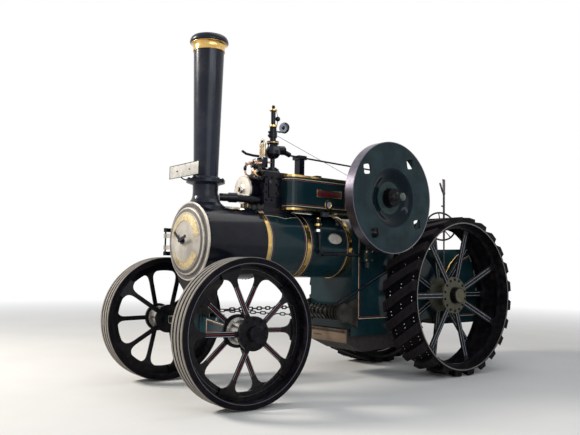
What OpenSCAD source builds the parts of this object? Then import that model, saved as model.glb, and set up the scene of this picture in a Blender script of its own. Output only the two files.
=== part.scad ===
// Steam traction engine, single cylinder, parked with its front axle slightly turned.
// X runs forward, Y to the engine's left and Z up. Lengths are in millimetres and angles in degrees.
// Places along X are measured from the hind axle, and the frame is then moved to the middle of the engine.

/* [Running gear] */
// Distance from the hind axle to the kingpin
wheelbase = 3073; // [2900:1:3300]
// Angle of the parked front axle, positive to the left
steer_parked = -3.4; // [-10:0.1:0]
// Radius of the front wheels over the rubber tyre
front_wheel_r = 660; // [620:1:700]
// Width of the front wheels
front_wheel_w = 227; // [190:1:240]
// Distance from the centre line to the middle of a front wheel
front_wheel_y = 862; // [850:1:920]
// Depth of the front rubber tyre
front_tyre_depth = 50; // [35:1:60]
// Number of spokes in a front wheel
front_spokes = 10; // [8:2:14]
// Radius of the steel rim of the hind wheels
hind_rim_r = 865; // [820:1:880]
// Width of the hind wheels
hind_wheel_w = 459; // [400:1:470]
// Distance from the centre line to the middle of a hind wheel
hind_wheel_y = 647; // [645:1:700]
// Height of a rubber lug over the rim
lug_h = 64; // [50:1:70]
// Number of lugs on a hind wheel
lug_count = 24; // [20:1:28]
// Turn of a lug from its inner to its outer end
lug_sweep = 17; // [10:1:20]
// Number of spokes in a hind wheel
hind_spokes = 14; // [12:2:18]
// Radius of the hind axle
hind_axle_r = 62; // [55:1:70]

/* [Boiler] */
// Height of the boiler's axis
boiler_z = 1473; // [1460:1:1490]
// Radius of the lagged barrel
barrel_r = 353; // [345:1:360]
// Radius of the smokebox shell
smokebox_r = 372; // [366:1:380]
// From the kingpin forward to the front of the smokebox
smokebox_overhang = 154; // [140:1:170]
// Back of the smokebox, where the barrel begins
smokebox_back = 2522; // [2500:1:2540]
// Front of the firebox, where the barrel ends
firebox_front = 1345; // [1340:1:1360]
// Back of the firebox
firebox_back = 330; // [300:1:350]
// Half width of the firebox
firebox_y = 335; // [325:1:340]
// Underside of the firebox
firebox_z = 560; // [540:1:580]
// Thickness of the hornplates
hornplate_t = 16; // [12:1:20]
// Opening radius of the smokebox door
door_opening_r = 300; // [280:1:310]

/* [Chimney] */
// From the front of the smokebox back to the chimney's axis
chimney_setback = 181; // [170:1:200]
// Height of the chimney's base flange
chimney_flange_z = 2078; // [2060:1:2100]
// Radius of the base flange
chimney_flange_r = 194; // [180:1:200]
// Radius of the tube at its foot
chimney_foot_r = 123; // [115:1:130]
// Radius of the tube at its top
chimney_top_r = 154; // [145:1:160]
// Overall height of the engine
chimney_top_z = 3560; // [3500:5:3650]
// Largest radius of the chimney cap
cap_r = 197; // [188:1:205]

/* [Cylinder and motion] */
// Sideways place of the cylinder, the crank and the rods
cylinder_y = -70; // [-80:1:-60]
// Height of the cylinder's axis
cylinder_z = 2040; // [2030:1:2060]
// From the back of the smokebox back to the front of the cylinder block
block_setback = 32; // [20:1:50]
// Length of the cylinder block
block_length = 380; // [370:1:390]
// Radius of the polished front cover
cylinder_cover_r = 152; // [140:1:160]
// Throw of the crank
crank_throw = 127; // [115:1:130]
// Place of the crankshaft along the engine
crank_x = 1185; // [1180:1:1195]
// Height of the crankshaft
crank_z = 2001; // [1995:1:2010]
// Radius of the crankshaft
crank_r = 42; // [38:1:46]
// Radius of the flywheel
flywheel_r = 607; // [590:1:612]
// Width of the flywheel's face
flywheel_w = 118; // [100:1:125]
// Outer side of the flywheel
flywheel_y = 818; // [810:1:830]

/* [Tender] */
// Back of the tender
tender_back = -1330; // [-1400:5:-1300]
// Partition between the driver's stand and the bunker
tender_mid = -700; // [-740:5:-680]
// Height of the footplate
footplate_z = 560; // [540:5:600]
// Height of the tender's sides
tender_top = 1500; // [1450:5:1600]
// Half width of the tender
tender_y = 400; // [385:1:405]
// Radius of the hole for the drawbar pin
drawbar_pin_r = 20; // [15:1:25]

/* [Hidden] */

$fn = 96;

// Gap at a seat, at a running face and between moving pieces
seat = 0.3;
run_gap = 1;

// The parked front wheels and the drawbar set the ends of the engine
tyre_chamfer = 10;
drawbar_end = tender_back - 150;
nose = wheelbase + front_wheel_r * cos(steer_parked)
     + (front_wheel_y + front_wheel_w / 2 - tyre_chamfer) * sin(abs(steer_parked));
x_mid = (nose + drawbar_end) / 2;

hind_axle_z = hind_rim_r + lug_h;
barrel_top = boiler_z + barrel_r;
smokebox_front = wheelbase + smokebox_overhang;
chimney_x = smokebox_front - chimney_setback;
block_front = smokebox_back - block_setback;
block_back = block_front - block_length;

// Sides and top of the cylinder block, and how far its foot flange stands out
block_left = 180;
block_right = -250;
block_top = 2290;
foot_out = 14;
hornplate_y = firebox_y + seat;
hornplate_out = hornplate_y + hornplate_t;

// Colours of the finishes
green = [0.05, 0.15, 0.10];
black = [0.04, 0.04, 0.05];
steel = [0.62, 0.62, 0.60];
brass = [0.80, 0.62, 0.25];
rubber = [0.08, 0.08, 0.08];
grey = [0.35, 0.36, 0.38];

// Moves a piece from the hind axle's frame to the middle of the engine
module engine_frame() {
    translate([-x_mid, 0, 0]) children();
}

// Moves a piece of the front axle to the kingpin, turned by the parked angle
module axle_frame() {
    engine_frame() translate([wheelbase, 0, 0]) rotate([0, 0, steer_parked]) children();
}

// Cylinders along the three axes, from one end to the other
module cyl_x(x0, x1, r, y = 0, z = 0) {
    translate([x0, y, z]) rotate([0, 90, 0]) cylinder(h = x1 - x0, r = r);
}
module cyl_y(y0, y1, r, x = 0, z = 0) {
    translate([x, y0, z]) rotate([-90, 0, 0]) cylinder(h = y1 - y0, r = r);
}
module cyl_z(z0, z1, r, x = 0, y = 0) {
    translate([x, y, z0]) cylinder(h = z1 - z0, r = r);
}

// Box from its lowest to its highest corner
module block(low, high) {
    translate(low) cube(high - low);
}

// Outline in X and Z, as a plate from y0 to y1
module plate_xz(y0, y1) {
    translate([0, y1, 0]) rotate([90, 0, 0]) linear_extrude(y1 - y0) children();
}

// Outline in Y and Z, as a bar from x0 to x1
module plate_yz(x0, x1) {
    translate([x0, 0, 0]) rotate([90, 0, 90]) linear_extrude(x1 - x0) children();
}

// Profile of radius and place, turned about the X axis or the Y axis
module turn_x() {
    rotate([0, 90, 0]) rotate_extrude() children();
}
module turn_y() {
    rotate([-90, 0, 0]) rotate_extrude() children();
}

// Straight round rod between two points
module rod(a, b, r) {
    d = b - a;
    flat = norm([d[0], d[1]]);
    translate(a) rotate([0, atan2(flat, d[2]), atan2(d[1], d[0])]) cylinder(h = norm(d), r = r);
}

// Round pipe through a list of points, with a short union at each bend, in line with the run that leaves it
module pipe(points, r) {
    for (i = [0 : len(points) - 2]) rod(points[i], points[i + 1], r);
    for (i = [1 : 1 : len(points) - 2])
        let (p = points[i], d = points[i + 1] - p, half = d / norm(d) * r * 1.1) rod(p - half, p + half, r * 1.25);
}

// Outline of a spur gear with straight-sided teeth
module gear_outline(teeth, pitch_r, depth, phase = 0) {
    step = 360 / teeth;
    root_r = pitch_r - depth * 0.55;
    tip_r = pitch_r + depth * 0.45;
    polygon([for (i = [0 : teeth - 1])
        for (corner = [[-0.30, root_r], [-0.13, tip_r], [0.13, tip_r], [0.30, root_r]])
            let (a = phase + (i + corner[0]) * step) [corner[1] * cos(a), corner[1] * sin(a)]]);
}

// Boiler

ring_t = 18;
ring_r = smokebox_r + 16;

// Rolled shell, open at the front, with the tube plate at its back
module smokebox() {
    shell_t = 12;
    engine_frame() color(black) difference() {
        union() {
            difference() {
                cyl_x(smokebox_back, smokebox_front - ring_t, smokebox_r, 0, boiler_z);
                cyl_x(smokebox_back + 20, smokebox_front, smokebox_r - shell_t, 0, boiler_z);
            }
            // Ring of flat plate that carries the door ring
            difference() {
                cyl_x(smokebox_front - ring_t - 12, smokebox_front - ring_t, smokebox_r, 0, boiler_z);
                cyl_x(smokebox_front - 40, smokebox_front, door_opening_r, 0, boiler_z);
            }
        }
        cyl_z(boiler_z + 200, boiler_z + 500, chimney_foot_r - 20, chimney_x);
    }
}

// Bright ring round the door opening
module smokebox_ring() {
    engine_frame() color(steel) translate([smokebox_front - ring_t + seat, 0, boiler_z]) turn_x()
        polygon([[door_opening_r, 0], [ring_r, 0], [ring_r, 10], [ring_r - 10, ring_t], [door_opening_r, ring_t]]);
}

hinge_x = smokebox_front + 28;
hinge_y = -ring_r - 30;
hinge_low = boiler_z - 140;
hinge_high = boiler_z + 140;
hinge_pin_r = 9;
hinge_eye_r = 20;
hinge_eye_h = 40;

// Two eyes and the pin that the smokebox door swings on
module door_hinge() {
    engine_frame() color(black) {
        for (z = [hinge_low, hinge_high - hinge_eye_h]) {
            cyl_z(z, z + hinge_eye_h, hinge_eye_r, hinge_x, hinge_y);
            block([smokebox_front - 78, hinge_y - 20, z], [hinge_x, hinge_y, z + hinge_eye_h]);
            difference() {
                block([smokebox_front - 78, hinge_y - 20, z], [smokebox_front - ring_t - 2, hinge_y + 118, z + hinge_eye_h]);
                cyl_x(smokebox_front - 100, smokebox_front, smokebox_r + seat, 0, boiler_z);
            }
        }
        cyl_z(hinge_low, hinge_high, hinge_pin_r, hinge_x, hinge_y);
    }
}

// How far the middle of the door stands out from its seat
door_crown = 60;

// Dished door with two straps that end in eyes on the hinge pin
module smokebox_door() {
    door_r = door_opening_r + 32;
    face = smokebox_front + seat * 3;
    engine_frame() color(steel) {
        translate([face, 0, boiler_z]) turn_x()
            polygon([[0, door_crown - 16], [0, door_crown], [120, door_crown - 4], [220, door_crown - 14],
                     [290, 30], [door_r - 6, 22], [door_r, 16], [door_r, 0], [door_opening_r - 16, 0],
                     [220, door_crown - 30], [120, door_crown - 20]]);
        for (z = [boiler_z - 60, boiler_z + 60]) {
            difference() {
                union() {
                    cyl_z(z - 22, z + 22, hinge_eye_r, hinge_x, hinge_y);
                    block([face + 18, hinge_y, z - 22], [face + 30, -door_r + 70, z + 22]);
                }
                cyl_z(z - 30, z + 30, hinge_pin_r + run_gap / 2, hinge_x, hinge_y);
            }
        }
    }
}

// Handwheel bar and lever of the door's dart
module door_dart() {
    face = smokebox_front + seat * 3 + door_crown + seat;
    engine_frame() color(black) translate([face, 0, boiler_z]) {
        cyl_x(0, 44, 16);
        cyl_x(0, 12, 34);
        translate([20, 0, 0]) rotate([55, 0, 0]) block([0, -12, -12], [12, 12, 150]);
        translate([34, 0, 0]) rotate([-70, 0, 0]) block([0, -12, -12], [12, 12, 130]);
    }
}

// Cast base, flared to sit on the smokebox
module chimney_base() {
    saddle_z = boiler_z + smokebox_r;
    engine_frame() color(black) difference() {
        translate([chimney_x, 0, 0]) rotate_extrude()
            polygon([[chimney_foot_r - 22, saddle_z - 70], [205, saddle_z - 70], [205, saddle_z - 20],
                     [190, saddle_z - 8], [160, saddle_z + 15], [138, saddle_z + 50],
                     [chimney_foot_r + 6, saddle_z + 80], [chimney_foot_r + 3, saddle_z + 130],
                     [chimney_foot_r + 6, chimney_flange_z - 40],
                     [chimney_flange_r, chimney_flange_z - 18], [chimney_flange_r, chimney_flange_z],
                     [chimney_foot_r - 22, chimney_flange_z]]);
        cyl_x(smokebox_back, smokebox_front + 100, smokebox_r + seat, 0, boiler_z);
        block([smokebox_front - ring_t, -ring_r, saddle_z - 100], [smokebox_front + 100, ring_r, saddle_z + 60]);
    }
}

band_low = chimney_top_z - 160;
cap_low = chimney_top_z - 42;

// Tapered tube with its lower flange
module chimney_tube() {
    wall = 6;
    engine_frame() color(black) translate([chimney_x, 0, 0]) rotate_extrude()
        polygon([[chimney_foot_r - wall, chimney_flange_z], [chimney_flange_r, chimney_flange_z],
                 [chimney_flange_r, chimney_flange_z + 16], [chimney_foot_r + 12, chimney_flange_z + 22],
                 [chimney_foot_r, chimney_flange_z + 45], [chimney_top_r, band_low],
                 [chimney_top_r - wall, band_low], [chimney_foot_r - wall, chimney_flange_z + 45]]);
}

// Brass band below the cap
module chimney_band() {
    engine_frame() color(brass) translate([chimney_x, 0, 0]) rotate_extrude()
        polygon([[chimney_top_r - 6, band_low], [chimney_top_r + 8, band_low],
                 [chimney_top_r + 26, band_low + 20], [chimney_top_r + 34, band_low + 60],
                 [cap_r - 3, cap_low], [chimney_top_r - 6, cap_low]]);
}

// Rolled cap with its narrower mouth
module chimney_cap() {
    engine_frame() color(black) translate([chimney_x, 0, 0]) rotate_extrude()
        polygon([[chimney_top_r - 6, cap_low], [cap_r, cap_low], [cap_r, cap_low + 8],
                 [cap_r - 16, cap_low + 28], [cap_r - 50, chimney_top_z], [118, chimney_top_z],
                 [118, chimney_top_z - 10]]);
}

// Lagged barrel between the firebox and the smokebox
module boiler_barrel() {
    engine_frame() color(green) cyl_x(firebox_front, smokebox_back, barrel_r, 0, boiler_z);
}

middle_band_x = block_back - 139;

// Three bands round the lagging
module boiler_bands() {
    engine_frame() color(brass)
        for (x = [firebox_front + 30, middle_band_x, smokebox_back - 30]) difference() {
            cyl_x(x - 24, x + 24, barrel_r + band_t, 0, boiler_z);
            cyl_x(x - 30, x + 30, barrel_r + seat, 0, boiler_z);
        }
}

// Outer firebox with a round top and the hole for firing
module firebox() {
    engine_frame() color(green) difference() {
        plate_yz(firebox_back, firebox_front) {
            translate([0, boiler_z]) circle(r = firebox_y);
            translate([-firebox_y, firebox_z]) square([firebox_y * 2, boiler_z - firebox_z]);
        }
        cyl_x(firebox_back - 1, firebox_back + 250, 140, 0, firehole_z);
    }
    // Eyes and pin for the firehole door
    engine_frame() color(green) {
        for (z = [firehole_z - 20 - seat - 20, firehole_z + 20 + seat]) {
            block([firehole_hinge_x, firehole_hinge_y - 14, z], [firebox_back + 1, firehole_hinge_y + 14, z + 20]);
            cyl_z(z, z + 20, 14, firehole_hinge_x, firehole_hinge_y);
        }
        cyl_z(firehole_z - 40, firehole_z + 40, 7, firehole_hinge_x, firehole_hinge_y);
    }
}

firehole_z = 1130;
firehole_hinge_y = 195;
firehole_hinge_x = firebox_back - seat - 24;

// Round door over the firing hole, with its strap and eye
module firehole_door() {
    x = firehole_hinge_x + 10;
    engine_frame() color(black) {
        cyl_x(x, firebox_back - seat, 158, 0, firehole_z);
        difference() {
            union() {
                block([x - 10, 0, firehole_z - 20], [x, firehole_hinge_y, firehole_z + 20]);
                cyl_z(firehole_z - 20, firehole_z + 20, 14, x - 10, firehole_hinge_y);
            }
            cyl_z(firehole_z - 30, firehole_z + 30, 7 + run_gap / 2, x - 10, firehole_hinge_y);
        }
    }
}

// Pan below the grate, with its front damper
module ashpan() {
    engine_frame() color(black) {
        plate_xz(-firebox_y + 35, firebox_y - 35)
            polygon([[firebox_back + 90, firebox_z - seat], [firebox_back + 110, firebox_z - 240],
                     [firebox_front - 225, firebox_z - 270], [firebox_front + 25, firebox_z - 160],
                     [firebox_front + 35, firebox_z - 20], [firebox_front - 10, firebox_z - seat]]);
    }
}

// Frames

bearing_r = 78;
hornplate_front = firebox_front + 55;

// Outline of a hornplate: firebox side, crank bearing, shafts and axle box
module hornplate_outline() {
    difference() {
        polygon([[firebox_front, firebox_z - 80], [firebox_front, crank_z - 211], [hornplate_front, crank_z - 151],
                 [hornplate_front, crank_z + 39], [crank_x + 145, crank_z + 104], [crank_x - 135, crank_z + 104],
                 [crank_x - 285, crank_z - 11], second_at + [-139, 32], [250, hind_axle_z + 591],
                 [-60, hind_axle_z + 311], [-190, hind_axle_z + 201], [-200, hind_axle_z - 169],
                 [-110, hind_axle_z - 269], [250, hind_axle_z - 329], [firebox_back, firebox_z - 80]]);
        translate([crank_x, crank_z]) circle(r = bearing_r);
        translate([0, hind_axle_z]) circle(r = hind_axle_r + seat);
        translate(second_at) circle(r = shaft_r + seat);
    }
}
module hornplate_left() {
    engine_frame() color(green) plate_xz(hornplate_y, hornplate_out) hornplate_outline();
}
module hornplate_right() {
    engine_frame() color(green) plate_xz(-hornplate_out, -hornplate_y) hornplate_outline();
}

// Two split bearings for the crankshaft, about the middle of each hornplate
bearing_y = hornplate_y + 10;
module crank_bearings() {
    engine_frame() color(green)
        for (side = [-1, 1]) difference() {
            union() {
                cyl_y(side * bearing_y - 45, side * bearing_y + 45, bearing_r - seat, crank_x, crank_z);
                for (y = [side * (hornplate_out + seat + 19), side * (hornplate_y - seat - 14)])
                    block([crank_x - 95, y - 14, crank_z - 60], [crank_x + 95, y + 14, crank_z + 60]);
            }
            cyl_y(side * bearing_y - 50, side * bearing_y + 50, crank_r + run_gap / 2, crank_x, crank_z);
        }
}

tray_top = block_top - 85;
band_t = 5;
tray_sheet = 6;
tray_z = barrel_top + band_t + seat;
tray_floor = tray_z + tray_sheet;
tray_y = firebox_y + 3;

// Trough of thin plate between the cylinder and the hornplates, with rounded front corners
module motion_tray() {
    tray_back = hornplate_front + seat;
    tray_front = block_back + 120;
    corner = 95;
    engine_frame() color(green) difference() {
        translate([0, 0, tray_z]) linear_extrude(tray_top - tray_z)
            tray_plan(tray_back, tray_front, tray_y, corner);
        translate([0, 0, tray_floor]) linear_extrude(tray_top)
            tray_plan(tray_back - 1, tray_front - tray_sheet, tray_y - tray_sheet, corner - tray_sheet);
        // The cylinder block passes through the front
        block([block_back - foot_out - seat, block_right - foot_out - seat, barrel_top - 1],
              [tray_front + 1, block_left + foot_out + seat, tray_top + 1]);
    }
}
module tray_plan(back, front, half, corner) {
    translate([back, -half]) square([front - corner - back, half * 2]);
    translate([back, -half + corner]) square([front - back, (half - corner) * 2]);
    for (side = [-1, 1]) translate([front - corner, side * (half - corner)]) circle(r = corner);
}

// Cylinder and motion

// Cylinder, valve chest and steam casing cast in one, seated on the barrel
module cylinder_block() {
    engine_frame() color(black) difference() {
        union() {
            // Jacket round the cylinder
            cyl_x(block_back, block_front - 40, 175, cylinder_y, cylinder_z);
            block([block_back, block_right, boiler_z + 250], [block_front - 40, block_left, cylinder_z + 60]);
            // Valve chest on the left
            block([block_back + 30, 0, cylinder_z - 160], [block_front - 50, block_left, block_top - 60]);
            // Steam casing with a rounded top
            plate_yz(block_back + 60, block_front - 60) {
                translate([-150, cylinder_z]) square([300, 150]);
                translate([0, cylinder_z + 150]) circle(r = 100);
                translate([-100, cylinder_z + 120]) square([200, 70]);
            }
            cyl_z(cylinder_z, block_top, 70, stack_x, 0);
            // Foot flange, bent round the barrel
            intersection() {
                cyl_x(block_back - foot_out, block_front - 30, barrel_r + 20, 0, boiler_z);
                block([block_back - foot_out, block_right - foot_out, boiler_z + 200],
                      [block_front - 30, block_left + foot_out, boiler_z + barrel_r + 20]);
            }
            // Front end of the cylinder
            cyl_x(block_front - 41, block_front + 45, 150, cylinder_y, cylinder_z);
        }
        cyl_x(block_back - 50, block_front + 100, barrel_r + seat, 0, boiler_z);
    }
}

// Polished front cover with the boss of the tail rod
module cylinder_cover() {
    x = block_front + 45 + seat;
    engine_frame() color(steel) translate([x, cylinder_y, cylinder_z]) turn_x()
        polygon([[0, 0], [cylinder_cover_r, 0], [cylinder_cover_r, 14], [cylinder_cover_r - 8, 20],
                 [60, 26], [40, 34], [34, 60], [0, 60]]);
}

// Back cover, two slide bars and the crosshead between them
module guide_bars() {
    engine_frame() color(steel) {
        cyl_x(block_back - 40, block_back - seat, 140, cylinder_y, cylinder_z);
        cyl_x(crosshead_back + 60, block_back - 30, 24, cylinder_y, cylinder_z);
        for (z = [cylinder_z - 95, cylinder_z + 75])
            block([bars_back, cylinder_y - 32, z], [block_back - 30, cylinder_y + 32, z + 20]);
        // Crosshead
        block([crosshead_back, cylinder_y - 40, cylinder_z - 75 + seat],
              [crosshead_back + 120, cylinder_y + 40, cylinder_z + 75 - seat]);
        // Bracket that carries the bars
        for (side = [-1, 1])
            block([bars_back, cylinder_y + side * 44 - 10, tray_floor + seat],
                  [bars_back + 30, cylinder_y + side * 44 + 10, cylinder_z + 110]);
        block([bars_back, cylinder_y - 54, cylinder_z + 95], [bars_back + 30, cylinder_y + 54, cylinder_z + 125]);
        block([bars_back, cylinder_y - 54, tray_floor + seat], [bars_back + 30, cylinder_y + 54, cylinder_z - 95]);
    }
}

rod_start = crank_x + crank_throw + 66;
crosshead_back = crank_x + 455;
bars_back = crank_x + 295;

// Connecting rod from the crosshead to just short of the crankpin's eye
module connecting_rod() {
    engine_frame() color(steel) difference() {
        rod([rod_start, cylinder_y, crank_z + 5], [crosshead_back + 20, cylinder_y, cylinder_z], 24);
        block([crosshead_back - seat, cylinder_y - 40, cylinder_z - 60], [crosshead_back + 60, cylinder_y + 40, cylinder_z + 60]);
    }
}

// Crankshaft with its two webs, pin, big end, two eccentrics and the sliding pinion
module crankshaft() {
    web = 40;
    throat = 46;
    engine_frame() color(steel) translate([crank_x, 0, crank_z]) {
        cyl_y(-560, cylinder_y - throat, crank_r);
        cyl_y(cylinder_y + throat, 956, crank_r);
        for (y = [cylinder_y - throat - web, cylinder_y + throat]) {
            plate_xz(y, y + web) {
                circle(r = 52);
                translate([crank_throw, 0]) circle(r = 52);
                translate([0, -46]) square([crank_throw, 92]);
            }
        }
        cyl_y(cylinder_y - throat - 1, cylinder_y + throat + 1, 36, crank_throw, 0);
        cyl_y(cylinder_y - 32, cylinder_y + 32, 58, crank_throw, 0);
        for (i = [0, 1]) cyl_y(90 + i * 60, 130 + i * 60, 82, i == 0 ? -28 : 12, i == 0 ? 12 : 28);
        plate_xz(-545, -488) gear_outline(crank_teeth, fast_module * crank_teeth / 2, fast_module * 1.6);
    }
}

// Disc flywheel: a flat plate level with the outer edge of the rim, dished toward the hub, with four diamond holes
module flywheel() {
    y0 = flywheel_y - flywheel_w;
    // Radius and height of the plate's outer face, from the flat part in to the hub
    dish = [[330, 114], [300, 110], [265, 98], [235, 80], [205, 63], [175, 54]];
    dish_t = 22;
    engine_frame() color(green) translate([crank_x, 0, crank_z]) difference() {
        translate([0, y0, 0]) turn_y() polygon(concat(
            [[crank_r + seat, -20], [95, -20], [100, 20]],
            [for (i = [len(dish) - 1 : -1 : 0]) dish[i] - [0, dish_t]],
            [[flywheel_r - 40, 92], [flywheel_r - 36, 0], [flywheel_r, 0], [flywheel_r, flywheel_w],
             [flywheel_r - 7, flywheel_w], [flywheel_r - 10, 114]],
            dish,
            [[110, 54], [98, flywheel_w + 20], [crank_r + seat, flywheel_w + 20]]));
        for (a = [0 : 90 : 270]) rotate([0, -a - flywheel_hole_turn, 0])
            translate([flywheel_hole_at, 0, 0]) plate_xz(y0, flywheel_y) circle(r = 42, $fn = 4);
    }
}
flywheel_hole_at = 492;
flywheel_hole_turn = 35;

// Fittings on the cylinder

stack_x = block_back + 104;
stack_neck_r = 38;
stack_h = 445;

// Column of the regulator and safety valves
module valve_stack() {
    engine_frame() color(black) translate([stack_x, 0, block_top]) {
        rotate_extrude()
            polygon([[0, seat], [48, seat], [48, 14], [26, 20], [26, 110], [60, 125], [84, 160], [84, 200],
                     [60, 240], [52, 270], [66, 272], [66, 302], [34, 306], [34, 342], [46, 344], [46, 400],
                     [stack_neck_r, 404], [stack_neck_r, stack_h], [0, stack_h]]);
        rod([0, 0, 210], [-150, 0, 220], 50);
        rod([-140, 0, 210], [-235, 0, 180], 28);
        rod([0, 0, 400], [60, 0, 400], 12);
        rod([0, 0, 370], [60, 0, 360], 14);
    }
}

// Whistle with its bell and cap on top of the stack
module whistle() {
    engine_frame() color(brass) translate([stack_x, 0, block_top + stack_h]) rotate_extrude()
        polygon([[0, seat], [34, seat], [38, 10], [38, 40], [24, 50], [26, 190], [40, 195], [40, 210],
                 [16, 215], [16, 230], [20, 235], [14, 255], [0, 255]]);
}

// Pressure gauge on its curved siphon
module pressure_gauge() {
    engine_frame() color(grey) translate([stack_x - 150, 0, block_top + stack_h]) {
        translate([0, 0, 30]) rotate([0, 90, 16]) cylinder(h = 30, r = 56, center = true);
        pipe([[150 - stack_neck_r - seat, 0, -25], [60, 0, -25], [0, 0, -19]], 8);
    }
}

// Two sight tubes on a small stand
module lubricator() {
    engine_frame() color(brass) translate([stack_x + 136, 0, block_top]) {
        for (y = [-24, 24]) {
            cyl_z(seat, 270, 20, 0, y);
            cyl_z(270, 305, 9, 0, y);
        }
        block([-34, -52, seat], [34, 52, 110]);
    }
}

// Exhaust pipe along the top of the boiler to the chimney base
module exhaust_pipe() {
    y = 106;
    z = barrel_top + 102;
    engine_frame() color(black) difference() {
        union() {
            pipe([[block_front - 40 + seat, y, z], [chimney_x - 256, y, z], [chimney_x - 60, 20, z]], 40);
            cyl_x(block_front - 40 + seat, block_front - 24, 54, y, z);
        }
        cyl_z(z - 200, z + 200, chimney_foot_r + 20, chimney_x);
    }
}

// Rod from the regulator back to the driver
module regulator_rod() {
    rod_back = firebox_back + 90;
    rod_z = tray_top + 225;
    bracket_back = block_back - 310;
    engine_frame() color(steel) {
        pipe([[stack_x - 240, 0, rod_z + 36], [rod_back, 0, rod_z], [rod_back, 0, boiler_z + firebox_y + seat]], 10);
        // Bracket across the tray that carries the rod
        block([bracket_back, -tray_y, tray_top + seat], [bracket_back + 70, tray_y, tray_top + 16]);
        block([bracket_back, -45, tray_top + 10], [bracket_back + 70, 45, rod_z]);
        block([bracket_back - 20, -60, rod_z], [bracket_back + 90, 60, rod_z + 45]);
    }
}

// Clack valve on the barrel's left side with its feed pipe
module clack_valve() {
    x = block_back - 260;
    y = barrel_r - 8;
    engine_frame() color(black) translate([0, 0, boiler_z]) {
        cyl_z(167, 287, 26, x, y);
        cyl_z(207, 227, 38, x, y);
        difference() {
            cyl_y(y - 95, y, 20, x, 252);
            cyl_x(x - 50, x + 50, barrel_r + seat);
        }
        pipe([[x, y, 177], [x, y + 33, 87], [x, y + 37, -73], [x - 50, y + 39, -97], [pump_front, y + 39, -97]], 16);
    }
}

pump_front = crank_x + 45;

// Feed pump on the left hornplate
module feed_pump() {
    y = barrel_r + 39;
    engine_frame() color(green) translate([pump_front, 0, boiler_z]) {
        block([-140, hornplate_out + seat, -173], [-seat, y + 38, -33]);
        cyl_z(-33, 87, 30, -80, y);
        cyl_z(-233, -173, 36, -80, y);
    }
}

// Gears

// Module and teeth of each gear: crank pinion to second shaft, second to third, third to the axle
fast_module = 12;
slow_module = 14;
crank_teeth = 14;
second_gear_teeth = 48;
second_pinion_teeth = 16;
third_gear_teeth = 68;
third_pinion_teeth = 14;
final_teeth = 82;
backlash = 2;
shaft_r = 40;
shaft_clear = 10;
// Sideways places of the three gear pairs, the first one slid out of mesh
fast_gear_y = [-480, -425];
middle_gear_y = [-412, -358];
final_gear_y = [-468, -425];

// The second shaft crosses just over the firebox, at the distance that its gear needs from the crankshaft
second_reach = fast_module * (crank_teeth + second_gear_teeth) / 2 + backlash;
second_z = boiler_z + firebox_y + shaft_r + shaft_clear;
second_at = [crank_x - sqrt(pow(second_reach, 2) - pow(crank_z - second_z, 2)), second_z];

// The third shaft lies at its gears' distances from the second shaft and from the axle
third_reach = slow_module * (second_pinion_teeth + third_gear_teeth) / 2 + backlash;
final_reach = slow_module * (third_pinion_teeth + final_teeth) / 2 + backlash;
axle_to_second = norm(second_at - [0, hind_axle_z]);
second_bearing = atan2(second_at[1] - hind_axle_z, second_at[0]);
third_bearing = second_bearing
    - acos((pow(final_reach, 2) + pow(axle_to_second, 2) - pow(third_reach, 2)) / (2 * final_reach * axle_to_second));
third_at = [final_reach * cos(third_bearing), hind_axle_z + final_reach * sin(third_bearing)];
mesh_second = atan2(third_at[1] - second_at[1], third_at[0] - second_at[0]);
mesh_final = third_bearing + 180;

// Gear with round lightening holes, in the plane of X and Z
module spur_gear(at, y, teeth, gear_module, phase, holes = 0, hole_at = 0, hole_r = 0) {
    translate([at[0], 0, at[1]]) plate_xz(y[0], y[1]) difference() {
        gear_outline(teeth, gear_module * teeth / 2, gear_module * 1.6, phase);
        if (holes > 0) for (i = [1 : holes]) rotate(i * 360 / holes) translate([hole_at, 0]) circle(r = hole_r);
    }
}

// Shaft over the firebox with its large gear and its pinion
module second_shaft() {
    engine_frame() color(steel) {
        cyl_y(fast_gear_y[0] - 20, hornplate_out + 30, shaft_r, second_at[0], second_at[1]);
        spur_gear(second_at, fast_gear_y, second_gear_teeth, fast_module, 0, 6, 170, 50);
        spur_gear(second_at, [middle_gear_y[0] - 8, middle_gear_y[1]], second_pinion_teeth, slow_module, mesh_second);
    }
}

// Stub shaft on the right hornplate with its large gear and its pinion
module third_shaft() {
    engine_frame() color(steel) {
        cyl_y(final_gear_y[0] - 8, -hornplate_out - seat, shaft_r, third_at[0], third_at[1]);
        cyl_y(-hornplate_out - 5, -hornplate_out - seat, shaft_r * 2, third_at[0], third_at[1]);
        spur_gear(third_at, middle_gear_y, third_gear_teeth, slow_module,
                  mesh_second + 180 + 180 / third_gear_teeth, 6, 270, 85);
        spur_gear(third_at, final_gear_y, third_pinion_teeth, slow_module, mesh_final);
    }
}

// Large gear on the hind axle
module final_gear() {
    engine_frame() color(steel) difference() {
        spur_gear([0, hind_axle_z], final_gear_y, final_teeth, slow_module,
                  mesh_final + 180 + 180 / final_teeth, 6, 330, 110);
        cyl_y(-900, 0, hind_axle_r + seat, 0, hind_axle_z);
    }
}

// Fixed hind axle through the hornplates
module hind_axle() {
    engine_frame() color(steel) cyl_y(-hind_hub_out + 30, hind_hub_out - 30, hind_axle_r, 0, hind_axle_z);
}

// Tender

sheet_t = 8;

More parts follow.
